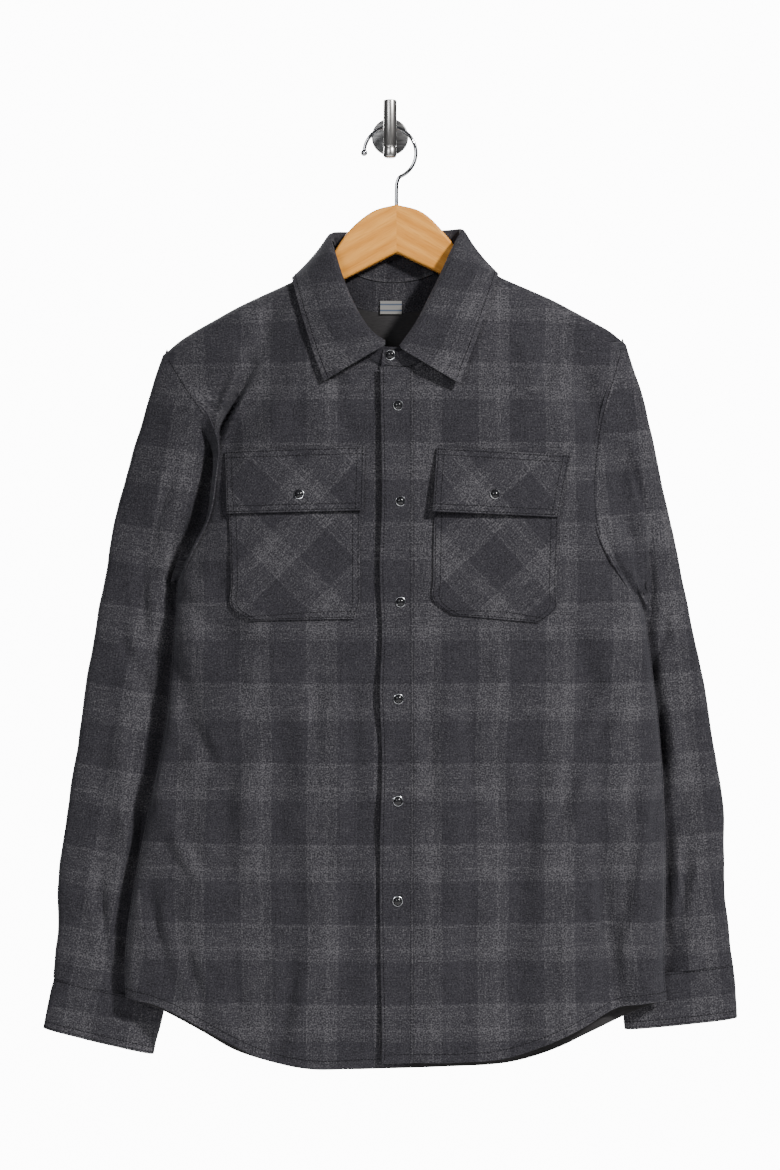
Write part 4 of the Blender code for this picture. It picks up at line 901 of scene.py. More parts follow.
def stand_tops(neck):
    """Top of the stand over each neck point."""
    tops = []
    last = len(neck) - 1
    for k, seam in enumerate(neck):
        if k == last:
            tops.append(front_point(STAND_OVER_TOP, STAND_OVER_OUT))
            continue
        crest = smooth_row(CREST, clamp(k, CREST[0].station, CREST[-1].station))
        rise = Vector((crest.x, crest.y, crest.z)) - seam
        share = min(STAND_SHARE_FRONT, STAND_HEIGHT / rise.length)
        if k == 0:
            first = Vector((CREST[0].x, CREST[0].y, CREST[0].z))
            under = neck[1] + (first - neck[1]) * share
            tops.append(Vector((seam.x - STAND_LEAN, seam.y, under.z)))
        else:
            tops.append(seam + rise * share)
    return tops


def leaf_grid(neck, tops, fronts):
    """Section by section: up from the stand, over the roll and down to the outer edge."""
    sections = []
    axis = Vector((CENTRE_X, NECK_MID_Y, 0.0))
    for k in range(1, len(neck) - 1):
        crest = smooth_row(CREST, k)
        crest = Vector((crest.x, crest.y, crest.z))
        base = tops[k]
        rise = (crest - base).normalized() if (crest - base).length > 1 else Vector((0, 0, 1))
        along = (tops[k + 1] - tops[k - 1]) if 1 < k < len(neck) - 2 else (neck[k + 1] - neck[k])
        out = rise.cross(along).normalized()
        if out.dot(Vector((crest.x, crest.y, 0)) - axis) < 0:
            out = -out
        station = min(EDGE, key=lambda row: abs(row.station - k))
        if station.station == k:
            x, z, lift, y = station.x, station.z, station.lift, station.y
        else:
            a = max((row for row in EDGE if row.station < k), key=lambda row: row.station)
            b = min((row for row in EDGE if row.station > k), key=lambda row: row.station)
            x, z, y = (mix(a.x, b.x, 0.5), mix(a.z, b.z, 0.5), mix(a.y, b.y, 0.5))
            lift = 0.0
        if y is None:
            y = surface_y(fronts, x, z, lift)
        edge = Vector((x, y, z))
        from_back = abs(k - BACK_STATION)
        back_share = ease((BACK_STATIONS - from_back) / BACK_STATIONS_EASE)
        side_share = ease(1.0 - abs(from_back - SIDE_STATION) / SIDE_STATIONS)
        roll = mix(LEAF_ROLL_FRONT, LEAF_ROLL_BACK, back_share)
        roll = mix(roll, LEAF_ROLL_SIDE, side_share)
        start = base + rise * LEAF_GAP - out * (CLOTH / 2)
        turn_in = crest - rise * roll
        section = [start, mix(start, turn_in, LEAF_TURN_SHARE), turn_in,
                   crest + out * roll, crest - rise * roll + out * (2 * roll)]
        begin = section[-1]
        for share in LEAF_SHARES:
            bulge = mix(LEAF_BULGE, LEAF_BULGE_SIDE, side_share) * 4 * share * (1 - share)
            section.append(mix(begin, edge, share) + out * bulge)
        sections.append(section)
    return [list(row) for row in zip(*sections)]


def surface_y(fronts, x, z, lift=0.0):
    """Depth of a front's shown face behind a place, lifted square to the face."""
    best = None
    for tree in fronts:
        hit, normal, _, _ = tree.ray_cast(Vector((x, -RAY_START, z)), Vector((0, 1, 0)))
        if hit is not None:
            y = hit.y - lift / max(abs(normal.y), FACING_LEAST)
            best = y if best is None else min(best, y)
    return best


def array_of(grid):
    """A grid of vectors as rows, columns and X, Y, Z."""
    return np.array([[tuple(point) for point in line] for line in grid], float)


def resample(points, cell, closed=False):
    """Rows about a cell apart, on a smooth curve through the given rows, and their places."""
    rows = np.concatenate([points, points[:1]]) if closed else points
    gaps = np.linalg.norm(np.diff(rows, axis=0), axis=2).mean(axis=1)
    gaps = np.maximum(gaps, LEAST_STEP)
    knots = np.concatenate([[0.0], np.cumsum(gaps)])
    slopes = np.empty_like(rows)
    slopes[1:-1] = (rows[2:] - rows[:-2]) / (knots[2:] - knots[:-2])[:, None, None]
    slopes[0], slopes[-1] = (rows[1] - rows[0]) / gaps[0], (rows[-1] - rows[-2]) / gaps[-1]
    if closed:
        slopes[0] = (rows[1] - rows[-2]) / (gaps[0] + gaps[-1])
        slopes[-1] = slopes[0]
    counts = np.maximum(np.rint(gaps / cell), 1).astype(int)
    low = np.repeat(np.arange(len(counts)), counts)
    share = np.concatenate([np.arange(count) / count for count in counts])
    if not closed:
        low, share = np.append(low, len(counts) - 1), np.append(share, 1.0)
    made = curve_at(share[:, None, None], rows[low], rows[low + 1], slopes[low], slopes[low + 1],
                    gaps[low][:, None, None])
    return made, low + share


def dense(grid, cell, closed=False):
    """A fine grid of points through a coarse one, and the coarse places of its rows, columns."""
    points, row_places = resample(array_of(grid), cell)
    turned, column_places = resample(points.transpose(1, 0, 2), cell, closed)
    return turned.transpose(1, 0, 2), row_places, column_places


def normals_of(points, closed, towards):
    """Unit normals of a grid, turned away from the upright plane or line at towards."""
    if closed:
        across = np.roll(points, -1, axis=1) - np.roll(points, 1, axis=1)
    else:
        across = np.gradient(points, axis=1)
    down = np.gradient(points, axis=0)
    normals = np.cross(across, down)
    normals /= np.maximum(np.linalg.norm(normals, axis=2, keepdims=True), TINY)
    offset = points[..., 1] - towards
    if (normals[..., 1] * offset).sum() < 0:
        normals = -normals
    return normals


def bump_of(creases, a, b, stretch=1.0):
    """Depth of the drawn creases at places a, b: soft troughs between low ridges."""
    total = np.zeros_like(a)
    for k, crease in enumerate(creases):
        run = np.array([crease.x1 - crease.x0, (crease.z1 - crease.z0) * stretch])
        length = math.hypot(*run)
        along = run / length
        off_a, off_b = a - crease.x0, (b - crease.z0) * stretch
        t = (off_a * along[0] + off_b * along[1]) / length
        side = off_a * along[1] - off_b * along[0]
        inside = np.clip(t, 0.0, 1.0)
        side = side - crease.bow * 4 * inside * (1 - inside)
        beyond = np.maximum(np.maximum(-t, t - 1.0), 0.0) * length
        width = crease.width * (1.0 + WIDTH_SWING * np.sin(WIDTH_TURNS * t + k))
        trough = np.exp(-((side / width) ** 2))
        ridge = np.exp(-(((np.abs(side) - RIDGE_PLACE * width) / width) ** 2))
        middle = np.clip(END_SHARE + (1.0 - 2.0 * END_SHARE) * t, 0.0, 1.0)
        fade = np.sin(math.pi * middle) ** END_POWER * np.exp(-((beyond / crease.width) ** 2))
        fade = fade * (DEPTH_LEAST + DEPTH_SWING * np.sin(DEPTH_TURNS * t + 2 * k))
        total += CREASE_GAIN * crease.depth * fade * (trough - RIDGE_SHARE * ridge)
    return total


def waves_at(a, b, seed):
    """Long soft unevenness of hung cloth."""
    total = np.zeros_like(a)
    for k, wave in enumerate(WAVES):
        turn = wave.turn + seed * WAVE_SEED_TURN
        phase = (a * math.cos(turn) + b * math.sin(turn)) * 2 * math.pi / wave.length
        bend = np.sin((a * math.sin(turn) - b * math.cos(turn)) * math.pi / wave.length + k)
        total += wave.height * np.sin(phase + wave.start + seed + WAVE_BEND * bend)
    return total


def lengths(points, axis):
    """Way along each row or column of a grid from its start."""
    steps = np.linalg.norm(np.diff(points, axis=axis), axis=2)
    start = np.zeros_like(np.take(steps, [0], axis=axis))
    return np.concatenate([start, np.cumsum(steps, axis=axis)], axis=axis)


def edge_ways(points, closed):
    """Distance of each grid point from the top, bottom, first and last edges."""
    down = lengths(points, 0)
    ways = [down, down[-1:] - down]
    if not closed:
        across = lengths(points, 1)
        ways += [across, across[:, -1:] - across]
    return ways


def placed(name, data):
    """A new object in the scene."""
    thing = bpy.data.objects.new(name, data)
    bpy.context.scene.collection.objects.link(thing)
    return thing


def add_piece(name, data, materials, nodes):
    """Link a piece under the root, and hide the CAD nodes it stands for."""
    for material in materials:
        data.materials.append(material)
    piece = placed(name, data)
    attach(piece, "root")
    if nodes:
        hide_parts(*nodes)
    return piece


def soften(piece, width, segments, angle):
    """Rounded edges on a piece."""
    soft = piece.modifiers.new("edges", "BEVEL")
    soft.width = width * MM
    soft.segments = segments
    soft.limit_method = "ANGLE"
    soft.angle_limit = math.radians(angle)
    return soft


class Sheet:
    """A fine grid of cloth: where it is, which way it faces, and its place in the plaid.
    Its name is that of its CAD node."""

    def __init__(self, name, points, towards, closed=False, shell=SHELL):
        self.name = name
        self.closed = closed
        self.shell = shell
        self.points = points
        self.towards = towards
        self.normals = normals_of(points, closed, towards)
        self.skip = None
        self.uv = None

    def push(self, depth):
        """Move the cloth inwards by a depth at each point."""
        self.place_at(self.points - self.normals * depth[..., None])

    def place_at(self, points):
        """Move the cloth to other points."""
        self.points = points
        self.normals = normals_of(points, self.closed, self.towards)

    def flat_uv(self, start_u=0.0):
        """Plaid coordinates by the way across from the middle and straight down."""
        steps = np.diff(self.points, axis=1)
        ways = np.cumsum(np.hypot(steps[..., 0], steps[..., 1]) * np.sign(steps[..., 0]), axis=1)
        ways = np.concatenate([np.zeros((len(ways), 1)), ways], axis=1)
        near = np.abs(self.points[..., 0] - CENTRE_X).argmin(axis=1)
        rows = np.arange(len(ways))
        ways = ways - ways[rows, near][:, None] + self.points[rows, near, 0][:, None]
        self.uv = np.stack([ways + start_u, self.points[..., 2]], axis=2)

    def grid_uv(self, start, turn=0.0):
        """Plaid coordinates by the ways across and down, turned by an angle."""
        u = lengths(self.points, 1)
        v = lengths(self.points, 0)
        u = u - u[:, -1:] / 2
        c, s = math.cos(turn), math.sin(turn)
        self.uv = np.stack([u * c - v * s + start[0], u * s + v * c + start[1]], axis=2)

    def tree(self):
        """The shown face as a tree for finding places on it."""
        rows, columns = self.points.shape[:2]
        verts = [tuple(p) for p in self.points.reshape(-1, 3)]
        faces = []
        for r in range(rows - 1):
            for c in range(columns - (0 if self.closed else 1)):
                if self.skip is None or not self.skip[r, c]:
                    d = (c + 1) % columns
                    faces.append((r * columns + c, r * columns + d,
                                  (r + 1) * columns + d, (r + 1) * columns + c))
        return BVHTree.FromPolygons(verts, faces)

    def make(self, materials):
        """The closed thin wall as an object that stands for its CAD node."""
        rows, columns = self.points.shape[:2]
        inner = self.points - self.normals * self.shell
        verts = np.concatenate([self.points.reshape(-1, 3), inner.reshape(-1, 3)]) * MM
        steps = columns if self.closed else columns - 1
        r, c = np.meshgrid(np.arange(rows - 1), np.arange(steps), indexing="ij")
        keep = np.ones(r.shape, bool) if self.skip is None else ~self.skip[:, :steps]
        r, c = r[keep], c[keep]
        d = (c + 1) % columns
        quads = np.stack([r * columns + c, r * columns + d, (r + 1) * columns + d,
                          (r + 1) * columns + c], axis=1)
        places = np.stack([np.stack([r, c], 1), np.stack([r, c + 1], 1),
                           np.stack([r + 1, c + 1], 1), np.stack([r + 1, c], 1)], axis=1)
        a, b, e = verts[quads[0, 0]], verts[quads[0, 1]], verts[quads[0, 2]]
        facing = np.cross(b - a, e - a) @ self.normals.reshape(-1, 3)[quads[0, 0]]
        if facing < 0:
            quads, places = quads[:, ::-1], places[:, ::-1]
        count = rows * columns
        rim, rim_places = free_edges(quads, places, count)
        faces = np.concatenate([quads, quads[:, ::-1] + count, rim])
        spots = np.concatenate([places, places[:, ::-1], rim_places])
        name = self.name + "_cloth"
        mesh = bpy.data.meshes.new(name)
        mesh.from_pydata(verts.tolist(), [], faces.tolist())
        for material in materials:
            mesh.materials.append(material)
        if len(materials) > 1:
            index = np.zeros(len(faces), np.int32)
            index[len(quads):2 * len(quads)] = 1
            mesh.polygons.foreach_set("material_index", index)
        uv = self.uv
        if self.closed and uv.shape[1] == columns:
            uv = np.concatenate([uv, uv[:, :1]], axis=1)
        layer = mesh.uv_layers.new(name="UVMap")
        loops = uv[spots.reshape(-1, 2)[:, 0], spots.reshape(-1, 2)[:, 1]] * MM
        layer.data.foreach_set("uv", loops.astype(np.float32).ravel())
        mesh.update()
        mesh.shade_smooth()
        mesh.set_sharp_from_angle(angle=math.radians(SHARP_ANGLE))
        return add_piece(name, mesh, [], [self.name])

    def edge_path(self, side, inset):
        """Points and normals on the cloth along one edge, a way in from it."""
        points, normals = self.points, self.normals
        if side in ("first", "last"):
            points, normals = points.transpose(1, 0, 2), normals.transpose(1, 0, 2)
        if side in ("bottom", "last"):
            points, normals = points[::-1], normals[::-1]
        ways = lengths(points, 0)
        path = []
        for c in range(points.shape[1]):
            low = clamp(int(np.searchsorted(ways[:, c], inset)) - 1, 0, len(ways) - 2)
            t = clamp((inset - ways[low, c]) / max(ways[low + 1, c] - ways[low, c], LEAST_STEP))
            path.append((points[low, c] * (1 - t) + points[low + 1, c] * t, normals[low, c]))
        return path


def free_edges(quads, places, count):
    """Faces of the rim between the shown face and the inner one."""
    starts = quads.ravel()
    ends = np.roll(quads, -1, axis=1).ravel()
    start_places = places.reshape(-1, 2)
    end_places = np.roll(places, -1, axis=1).reshape(-1, 2)
    key = np.minimum(starts, ends) * (2 * count) + np.maximum(starts, ends)
    _, index, uses = np.unique(key, return_inverse=True, return_counts=True)
    free = uses[index.ravel()] == 1
    a, b = starts[free], ends[free]
    pa, pb = start_places[free], end_places[free]
    return np.stack([b, a, a + count, b + count], 1), np.stack([pb, pa, pa, pb], 1)


class Nodes:
    """A short way to write a material's node tree."""

    def __init__(self, name):
        self.material = bpy.data.materials.new(name)
        self.material.use_nodes = True
        self.tree = self.material.node_tree
        self.shader = self.tree.nodes["Principled BSDF"]

    def add(self, kind, inputs=(), **settings):
        """A node with its inputs set or linked."""
        node = self.tree.nodes.new(kind)
        for key, value in settings.items():
            setattr(node, key, value)
        for key, value in dict(inputs).items():
            if isinstance(value, bpy.types.NodeSocket):
                self.tree.links.new(value, node.inputs[key])
            else:
                node.inputs[key].default_value = value
        return node

    def place(self, kind="Object"):
        """Object coordinates, or a cloth's own."""
        if kind == "UV":
            return self.add("ShaderNodeUVMap", uv_map="UVMap").outputs["UV"]
        return self.add("ShaderNodeTexCoord").outputs[kind]

    def math(self, operation, a, b=0.0, c=0.0):
        return self.add("ShaderNodeMath", {0: a, 1: b, 2: c}, operation=operation).outputs[0]

    def vector(self, operation, a, b, c=(0.0, 0.0, 0.0)):
        inputs = {0: a, 1: b, 2: c} if operation == "MULTIPLY_ADD" else {0: a, 1: b}
        return self.add("ShaderNodeVectorMath", inputs, operation=operation).outputs[0]

    def swing(self, value, reach, middle=0.0):
        """A noise's value as a swing about a middle."""
        return self.math("MULTIPLY_ADD", value, reach, middle - reach / 2)

    def wave(self, vector, scale, **more):
        """A wave texture's level."""
        direction = more.pop("direction", "X")
        inputs = {"Vector": vector, "Scale": scale}
        inputs.update({name.replace("_", " "): value for name, value in more.items()})
        return self.add("ShaderNodeTexWave", inputs, bands_direction=direction).outputs["Fac"]

    def mix(self, share, a, b, blend="MIX"):
        node = self.add("ShaderNodeMix", data_type="RGBA", blend_type=blend)
        for key, value in (("Factor_Float", share), ("A_Color", a), ("B_Color", b)):
            socket = next(s for s in node.inputs if s.identifier == key)
            if isinstance(value, bpy.types.NodeSocket):
                self.tree.links.new(value, socket)
            else:
                socket.default_value = value
        return next(s for s in node.outputs if s.identifier == "Result_Color")

    def ramp(self, value, stops, smooth=False):
        """A grey ramp through (place, level) stops."""
        node = self.add("ShaderNodeValToRGB", {0: value})
        node.color_ramp.interpolation = "EASE" if smooth else "LINEAR"
        elements = node.color_ramp.elements
        while len(elements) > 1:
            elements.remove(elements[-1])
        elements[0].position = stops[0][0]
        elements[0].color = level(stops[0][1])
        for place, value in stops[1:]:
            elements.new(place).color = level(value)
        return node.outputs["Color"]

    def noise(self, vector, scale, detail=2.0, rough=0.5):
        node = self.add("ShaderNodeTexNoise", {"Vector": vector, "Scale": scale,
                                               "Detail": detail, "Roughness": rough})
        return node.outputs["Fac"]

    def turned(self, vector, rotation):
        return self.add("ShaderNodeMapping", {"Vector": vector, "Rotation": rotation}).outputs[0]

    def bump(self, height, strength, distance, under=None):
        inputs = {"Height": height, "Strength": strength, "Distance": distance}
        if under is not None:
            inputs["Normal"] = under
        return self.add("ShaderNodeBump", inputs).outputs["Normal"]

    def link(self, socket, name):
        self.tree.links.new(socket, self.shader.inputs[name])

    def set(self, **values):
        for name, value in values.items():
            self.shader.inputs[name.replace("_", " ")].default_value = value


def level(value):
    """A grey, or a colour as it is."""
    if isinstance(value, tuple):
        return (*value, 1.0)
    return (value, value, value, 1.0)


def plaid_material():
    """Brushed grey plaid from the cloth's own coordinates."""
    n = Nodes("plaid_cloth")
    place = n.place("UV")
    moved = place
    for scale, detail, reach in BAND_SHIFTS:
        noise = n.add("ShaderNodeTexNoise", {"Vector": place, "Scale": scale, "Detail": detail})
        off = n.vector("SUBTRACT", noise.outputs["Color"], (0.5, 0.5, 0.5))
        moved = n.vector("MULTIPLY_ADD", off, (reach,) * 3, moved)
    parts = n.add("ShaderNodeSeparateXYZ", {0: moved})
    across = n.math("MULTIPLY_ADD", parts.outputs[0], 1 / (REPEAT_ACROSS * MM),
                    WHOLE_REPEATS - START_ACROSS / REPEAT_ACROSS)
    down = n.math("MULTIPLY_ADD", parts.outputs[1], -1 / (REPEAT_DOWN * MM),
                  WHOLE_REPEATS + START_DOWN / REPEAT_DOWN)
    warp = n.ramp(n.math("FRACT", across), WARP_BANDS)
    weft = n.ramp(n.math("FRACT", down), WEFT_BANDS)
    warp_yarn = n.noise(n.vector("MULTIPLY", place, (620.0, 60.0, 1.0)), 1.0, 3.0, 0.7)
    weft_yarn = n.noise(n.vector("MULTIPLY", place, (60.0, 620.0, 1.0)), 1.0, 3.0, 0.7)
    fleck = n.noise(place, 640.0, 2.0, 0.8)
    patch = n.noise(place, 150.0, 3.0, 0.6)
    cloud = n.noise(place, 30.0, 4.0, 0.6)
    grey = n.math("ADD", n.math("MULTIPLY", warp, n.swing(warp_yarn, YARN, 1.0)),
                  n.math("MULTIPLY", weft, n.swing(weft_yarn, YARN, 1.0)))
    swing = n.math("ADD", n.swing(fleck, FLECK), n.swing(patch, PATCH))
    swing = n.math("ADD", swing, n.swing(cloud, CLOUD))
    grey = n.math("MULTIPLY_ADD", grey, n.math("MULTIPLY", swing, SWING), grey)
    n.link(n.ramp(grey, CLOTH_COLOURS), "Base Color")
    nap = n.noise(place, 900.0, 3.0, 0.7)
    twill = n.wave(n.turned(place, (0.0, 0.0, TWILL_TURN)), 330.0, Distortion=1.5, Detail=2.0,
                   Detail_Scale=2.0)
    under = n.bump(n.noise(place, 130.0, 3.0, 0.6), 0.35, 0.0012)
    under = n.bump(twill, 0.25, 0.0003, under)
    n.link(n.bump(nap, 0.5, 0.0005, under), "Normal")
    n.link(n.math("MULTIPLY_ADD", nap, 0.16, 0.80), "Roughness")
    n.set(Sheen_Weight=0.10, Sheen_Roughness=0.5, Sheen_Tint=(0.75, 0.77, 0.85, 1.0),
          Specular_IOR_Level=0.18)
    return n.material


def thread_and_groove_shade_material():
    """Dark twisted sewing thread, made near black so that the stitch rows also read as their shaded
    grooves: partly the thread's own colour, partly painted shade.
    """
    n = Nodes("thread")
    twist = n.wave(n.place(), 900.0, Distortion=0.8)
    tone = n.noise(n.place(), 40.0, 2.0)
    n.link(n.ramp(n.math("MULTIPLY_ADD", twist, 0.3, n.math("MULTIPLY", tone, 0.7)),
                  THREAD_AND_GROOVE_SHADE_COLOURS), "Base Color")
    n.link(n.bump(twist, 0.4, 0.0002), "Normal")
    n.set(Roughness=0.85, Specular_IOR_Level=0.1)
    return n.material


def inner_material():
    """The inside of the yoke and back: a flat dark cloth."""
    n = Nodes("inner_cloth")
    place = n.place("UV")
    slub = n.noise(n.vector("MULTIPLY", place, (160.0, 900.0, 1.0)), 1.0, 3.0, 0.6)
    cloud = n.noise(place, 22.0, 3.0)
    n.link(n.ramp(n.math("MULTIPLY_ADD", slub, 0.5, n.math("MULTIPLY", cloud, 0.5)),
                  INNER_COLOURS), "Base Color")
    n.link(n.bump(n.noise(place, 1100.0, 2.0, 0.7), 0.4, 0.0004), "Normal")
    n.set(Roughness=0.9, Specular_IOR_Level=0.12)
    return n.material


def metal_material(name):
    """A metal with fine streaks, and smudges in its gloss."""
    metal = METALS[name]
    n = Nodes(name)
    streak = n.noise(n.vector("MULTIPLY", n.place(), metal.stretch), 1.0, 4.0, 0.65)
    smudge = n.noise(n.place(), 45.0, 3.0)
    n.link(n.ramp(streak, ((0.3, metal.dark), (0.7, metal.light))), "Base Color")
    wear = n.math("MULTIPLY_ADD", smudge, 0.10, metal.rough - 0.05)
    n.link(n.math("MULTIPLY_ADD", streak, 0.08, n.math("SUBTRACT", wear, 0.04)), "Roughness")
    n.link(n.bump(streak, 0.12, 0.0001), "Normal")
    n.set(Metallic=1.0)
    return n.material


def cap_material():
    """Glossy black enamel on a snap's cap."""
    n = Nodes("snap_enamel")
    haze = n.noise(n.place(), 260.0, 3.0)
    n.link(n.ramp(haze, ENAMEL_COLOURS), "Base Color")
    n.link(n.math("MULTIPLY_ADD", haze, 0.06, 0.13), "Roughness")
    n.link(n.bump(haze, 0.03, 0.0002), "Normal")
    n.set(Specular_IOR_Level=0.35)
    return n.material


def wood_material(name, lean):
    """Pale maple with its grain along one arm."""
    n = Nodes(name)
    turned = n.turned(n.place(), (0.0, lean, 0.0))
    rings = n.wave(n.vector("MULTIPLY", turned, (0.35, 3.0, 5.5)), 4.0, Distortion=5.0, Detail=3.0,
                   Detail_Scale=1.6, direction="Z")
    fibre = n.noise(n.vector("MULTIPLY", turned, (7.0, 60.0, 90.0)), 6.0, 5.0, 0.65)
    pores = n.noise(n.vector("MULTIPLY", turned, (60.0, 900.0, 900.0)), 1.0, 2.0, 0.5)
    cloud = n.noise(turned, 9.0, 3.0)
    tone = n.math("MULTIPLY_ADD", rings, 0.25, n.math("MULTIPLY", fibre, 0.55))
    tone = n.math("MULTIPLY_ADD", cloud, 0.30, tone)
    dark = n.ramp(pores, ((0.56, 0.0), (0.72, 0.35)))
    n.link(n.mix(dark, n.ramp(tone, WOOD_COLOURS), (*PORE_COLOUR, 1.0)), "Base Color")
    n.link(n.math("MULTIPLY_ADD", fibre, 0.14, 0.36), "Roughness")
    n.link(n.bump(n.math("ADD", fibre, pores), 0.10, 0.0004), "Normal")
    n.set(Specular_IOR_Level=0.12)
    return n.material


def tab_material():
    """Plain woven tape with two quiet bars along it."""
    n = Nodes("neck_tape")
    place = n.place()
    parts = n.add("ShaderNodeSeparateXYZ", {0: place})
    height = n.math("MULTIPLY_ADD", parts.outputs[2], 1 / (TAB_SIZE[2] * MM),
                    0.5 - TAB_CENTRE[1] / TAB_SIZE[2])
    rib = n.wave(place, 520.0, direction="X")
    # The tape is darker where the rib wave is low, the same wave that sets the bump: painted shade in
    # the grooves between the ribs
    shade = n.ramp(rib, ((0.0, 0.72), (1.0, 1.0)))
    n.link(n.mix(1.0, n.ramp(height, TAPE_BANDS), shade, "MULTIPLY"), "Base Color")
    n.link(n.bump(rib, 0.5, 0.0002), "Normal")
    n.set(Roughness=0.8, Sheen_Weight=0.1)
    return n.material


def tucked(points, normals, deep):
    """Two more rows that run on under the neighbour above."""
    run = points[0] - points[1]
    run /= np.maximum(np.linalg.norm(run, axis=1, keepdims=True), TINY)
    first = points[0] + run * TUCK_UNDER - normals[0] * deep
    second = points[0] + run * (TUCK_UNDER * TUCK_MIDDLE) - normals[0] * deep
    return np.concatenate([first[None], second[None], points])


def fade_at(points, closed, edges, reach):
    """0 at the named edges, rising to 1 a little way in."""
    ways = dict(zip(("top", "bottom", "first", "last"), edge_ways(points, closed)))
    total = np.ones(points.shape[:2])
    for edge in edges:
        share = np.clip(ways[edge] / reach, 0.0, 1.0)
        total = total * share * share * (3 - 2 * share)
    return total


def body_sheet(name, grid, creases, seed, shift):
    """A front or the back: fine, creased and placed in the plaid."""
    points, _, _ = dense(grid, CELL_BODY)
    sheet = Sheet(name, points, BODY_MID_Y)
    x, z = points[..., 0], points[..., 2]
    fade = fade_at(points, False, ("top", "first", "last"), SEAM_FADE)
    sheet.push((bump_of(creases, x, z) + waves_at(x, z, seed)) * fade)
    sheet.place_at(tucked(sheet.points, sheet.normals, TUCK_DEEP))
    sheet.flat_uv(shift)
    return sheet


def yoke_sheet(grid):
    """The yoke, cut out between the neckline's columns."""
    points, rows, columns = dense(grid, CELL_YOKE)
    sheet = Sheet("yoke", points, SHOULDER_MID_Y)
    neck_start = len(ACROSS) - 1
    row_cells, column_cells = rows[:-1] + LEAST_STEP, columns[:-1] + LEAST_STEP
    in_neck = (column_cells >= neck_start) & (column_cells < neck_start + 1 + len(BACK_NECK))
    sheet.skip = np.outer(row_cells < len(YOKE_ROWS) - 1, in_neck)
    sheet.flat_uv(SHIFT_BACK)
    return sheet


def smoothed(values):
    """Numbers down a sleeve with their small steps evened out."""
    for _ in range(UV_SMOOTHS):
        padded = np.concatenate([values[:1], values, values[-1:]])
        values = (padded[:-2] + padded[1:-1] + padded[2:]) / 3
    return values


def lay_plaid(sheet, lay, base):
    """Plaid coordinates straight down a tube's front and back, from its form before its creases."""
    middle = len(base) // 2
    seam = int(base[middle, :, 1].argmax())
    base = np.roll(base, -seam, axis=1)
    sheet.points = np.roll(sheet.points, -seam, axis=1)
    sheet.normals = np.roll(sheet.normals, -seam, axis=1)
    ring = np.concatenate([base, base[:, :1]], axis=1)
    axis = np.array([-math.sin(lay.lean), 0.0, -math.cos(lay.lean)])
    around = ring @ np.array([math.cos(lay.lean), 0.0, -math.sin(lay.lean)])
    way = 1.0 if around[middle].argmax() > around[middle].argmin() else -1.0
    first, last = sorted((int(around[middle].argmin()), int(around[middle].argmax())))
    depth = ring[..., 1]
    before = np.abs(depth[:, :first] - depth[:, first:first + 1])
    after = np.abs(depth[:, last + 1:] - depth[:, last:last + 1])
    left = 2 * smoothed(around[:, first])[:, None] - around[:, :first] - way * before
    right = 2 * smoothed(around[:, last])[:, None] - around[:, last + 1:] + way * after
    around = np.concatenate([left, around[:, first:last + 1], right], axis=1) + lay.around
    along = -(ring @ axis) * SLEEVE_STRETCH + lay.along
    sheet.uv = np.stack([around, along], axis=2)


def hollow_at(side, x, z):
    """How far a sleeve's front falls back at a place, beside the body's edge."""
    arm = ARM_FRONT_RIGHT if side == "right" else ARM_FRONT_LEFT
    edge = [(spot.z, spot.x) for spot in arm]
    edge += [(row.z, getattr(row, side)) for row in BODY if row.z < arm[-1].z]
    edge = sorted(edge)
    off = x - np.interp(z, [spot[0] for spot in edge], [spot[1] for spot in edge])
    off = -off if side == "right" else off
    hollows = HOLLOWS[side]
    heights = [hollow.z for hollow in hollows]
    width = np.interp(z, heights, [hollow.width for hollow in hollows])
    depth = np.interp(z, heights, [hollow.depth for hollow in hollows])
    return depth * np.exp(-(np.maximum(off, 0.0) / width) ** 3)


def sleeve_sheet(side, grid, seed):
    """A sleeve with creases round it and the hollow beside its armhole."""
    points, _, places = dense(grid, CELL_SLEEVE, closed=True)
    sheet = Sheet("sleeve_" + side, points, SLEEVE_MID_Y, closed=True)
    base = tucked(points, sheet.normals, 0.0)
    rows, columns = points.shape[:2]
    along = np.repeat(np.linspace(0.0, 1.0, rows)[:, None], columns, axis=1)
    around = np.repeat(np.linspace(0.0, 1.0, columns, endpoint=False)[None], rows, axis=0)
    depth = bump_of(SLEEVE_CREASES, along, (around + CREASE_TURN * math.sin(seed)) % 1.0)
    gain, offset = CREASE_FACING
    depth *= np.clip(np.abs(sheet.normals[..., 1]) * gain + offset, 0.0, 1.0)
    depth += waves_at(points[..., 0] * SLEEVE_WAVES, points[..., 2], seed)
    sheet.push(depth * fade_at(points, True, ("top",), SEAM_FADE))
    facing = np.sqrt(np.clip(-sheet.normals[..., 1], 0.0, 1.0))
    deep = bump_of(SLEEVE_FOLDS[side], points[..., 0], points[..., 2]) * facing
    last = len(ARM_FRONT_RIGHT) + 1
    in_front = np.clip(np.minimum(places, last - places) / HOLLOW_EASE, 0.0, 1.0)
    deep += hollow_at(side, points[..., 0], points[..., 2]) * in_front
    deep = np.minimum(deep, np.maximum(HOLLOW_BACK_Y - sheet.points[..., 1], 0.0))
    sheet.points[..., 1] += deep * fade_at(points, True, ("top",), STEP_FADE)
    sheet.place_at(sheet.points)
    sheet.place_at(tucked(sheet.points, sheet.normals, SLEEVE_TUCK_DEEP))
    lay_plaid(sheet, SLEEVE_LAY[side], base)
    return sheet


def cuff_sheet(side, grid):
    """A cuff's band, slightly uneven."""
    points, _, _ = dense(grid, CELL_SMALL, closed=True)
    cuff = Sheet("cuff_" + side, points, SLEEVE_MID_Y, closed=True, shell=CUFF_THICK)
    waves = waves_at(points[..., 0] * CUFF_WAVES, points[..., 2] * CUFF_WAVES, CUFF_SEED)
    cuff.push(waves * CUFF_WAVE_DEPTH)
    lay_plaid(cuff, SLEEVE_LAY[side], points)
    return cuff


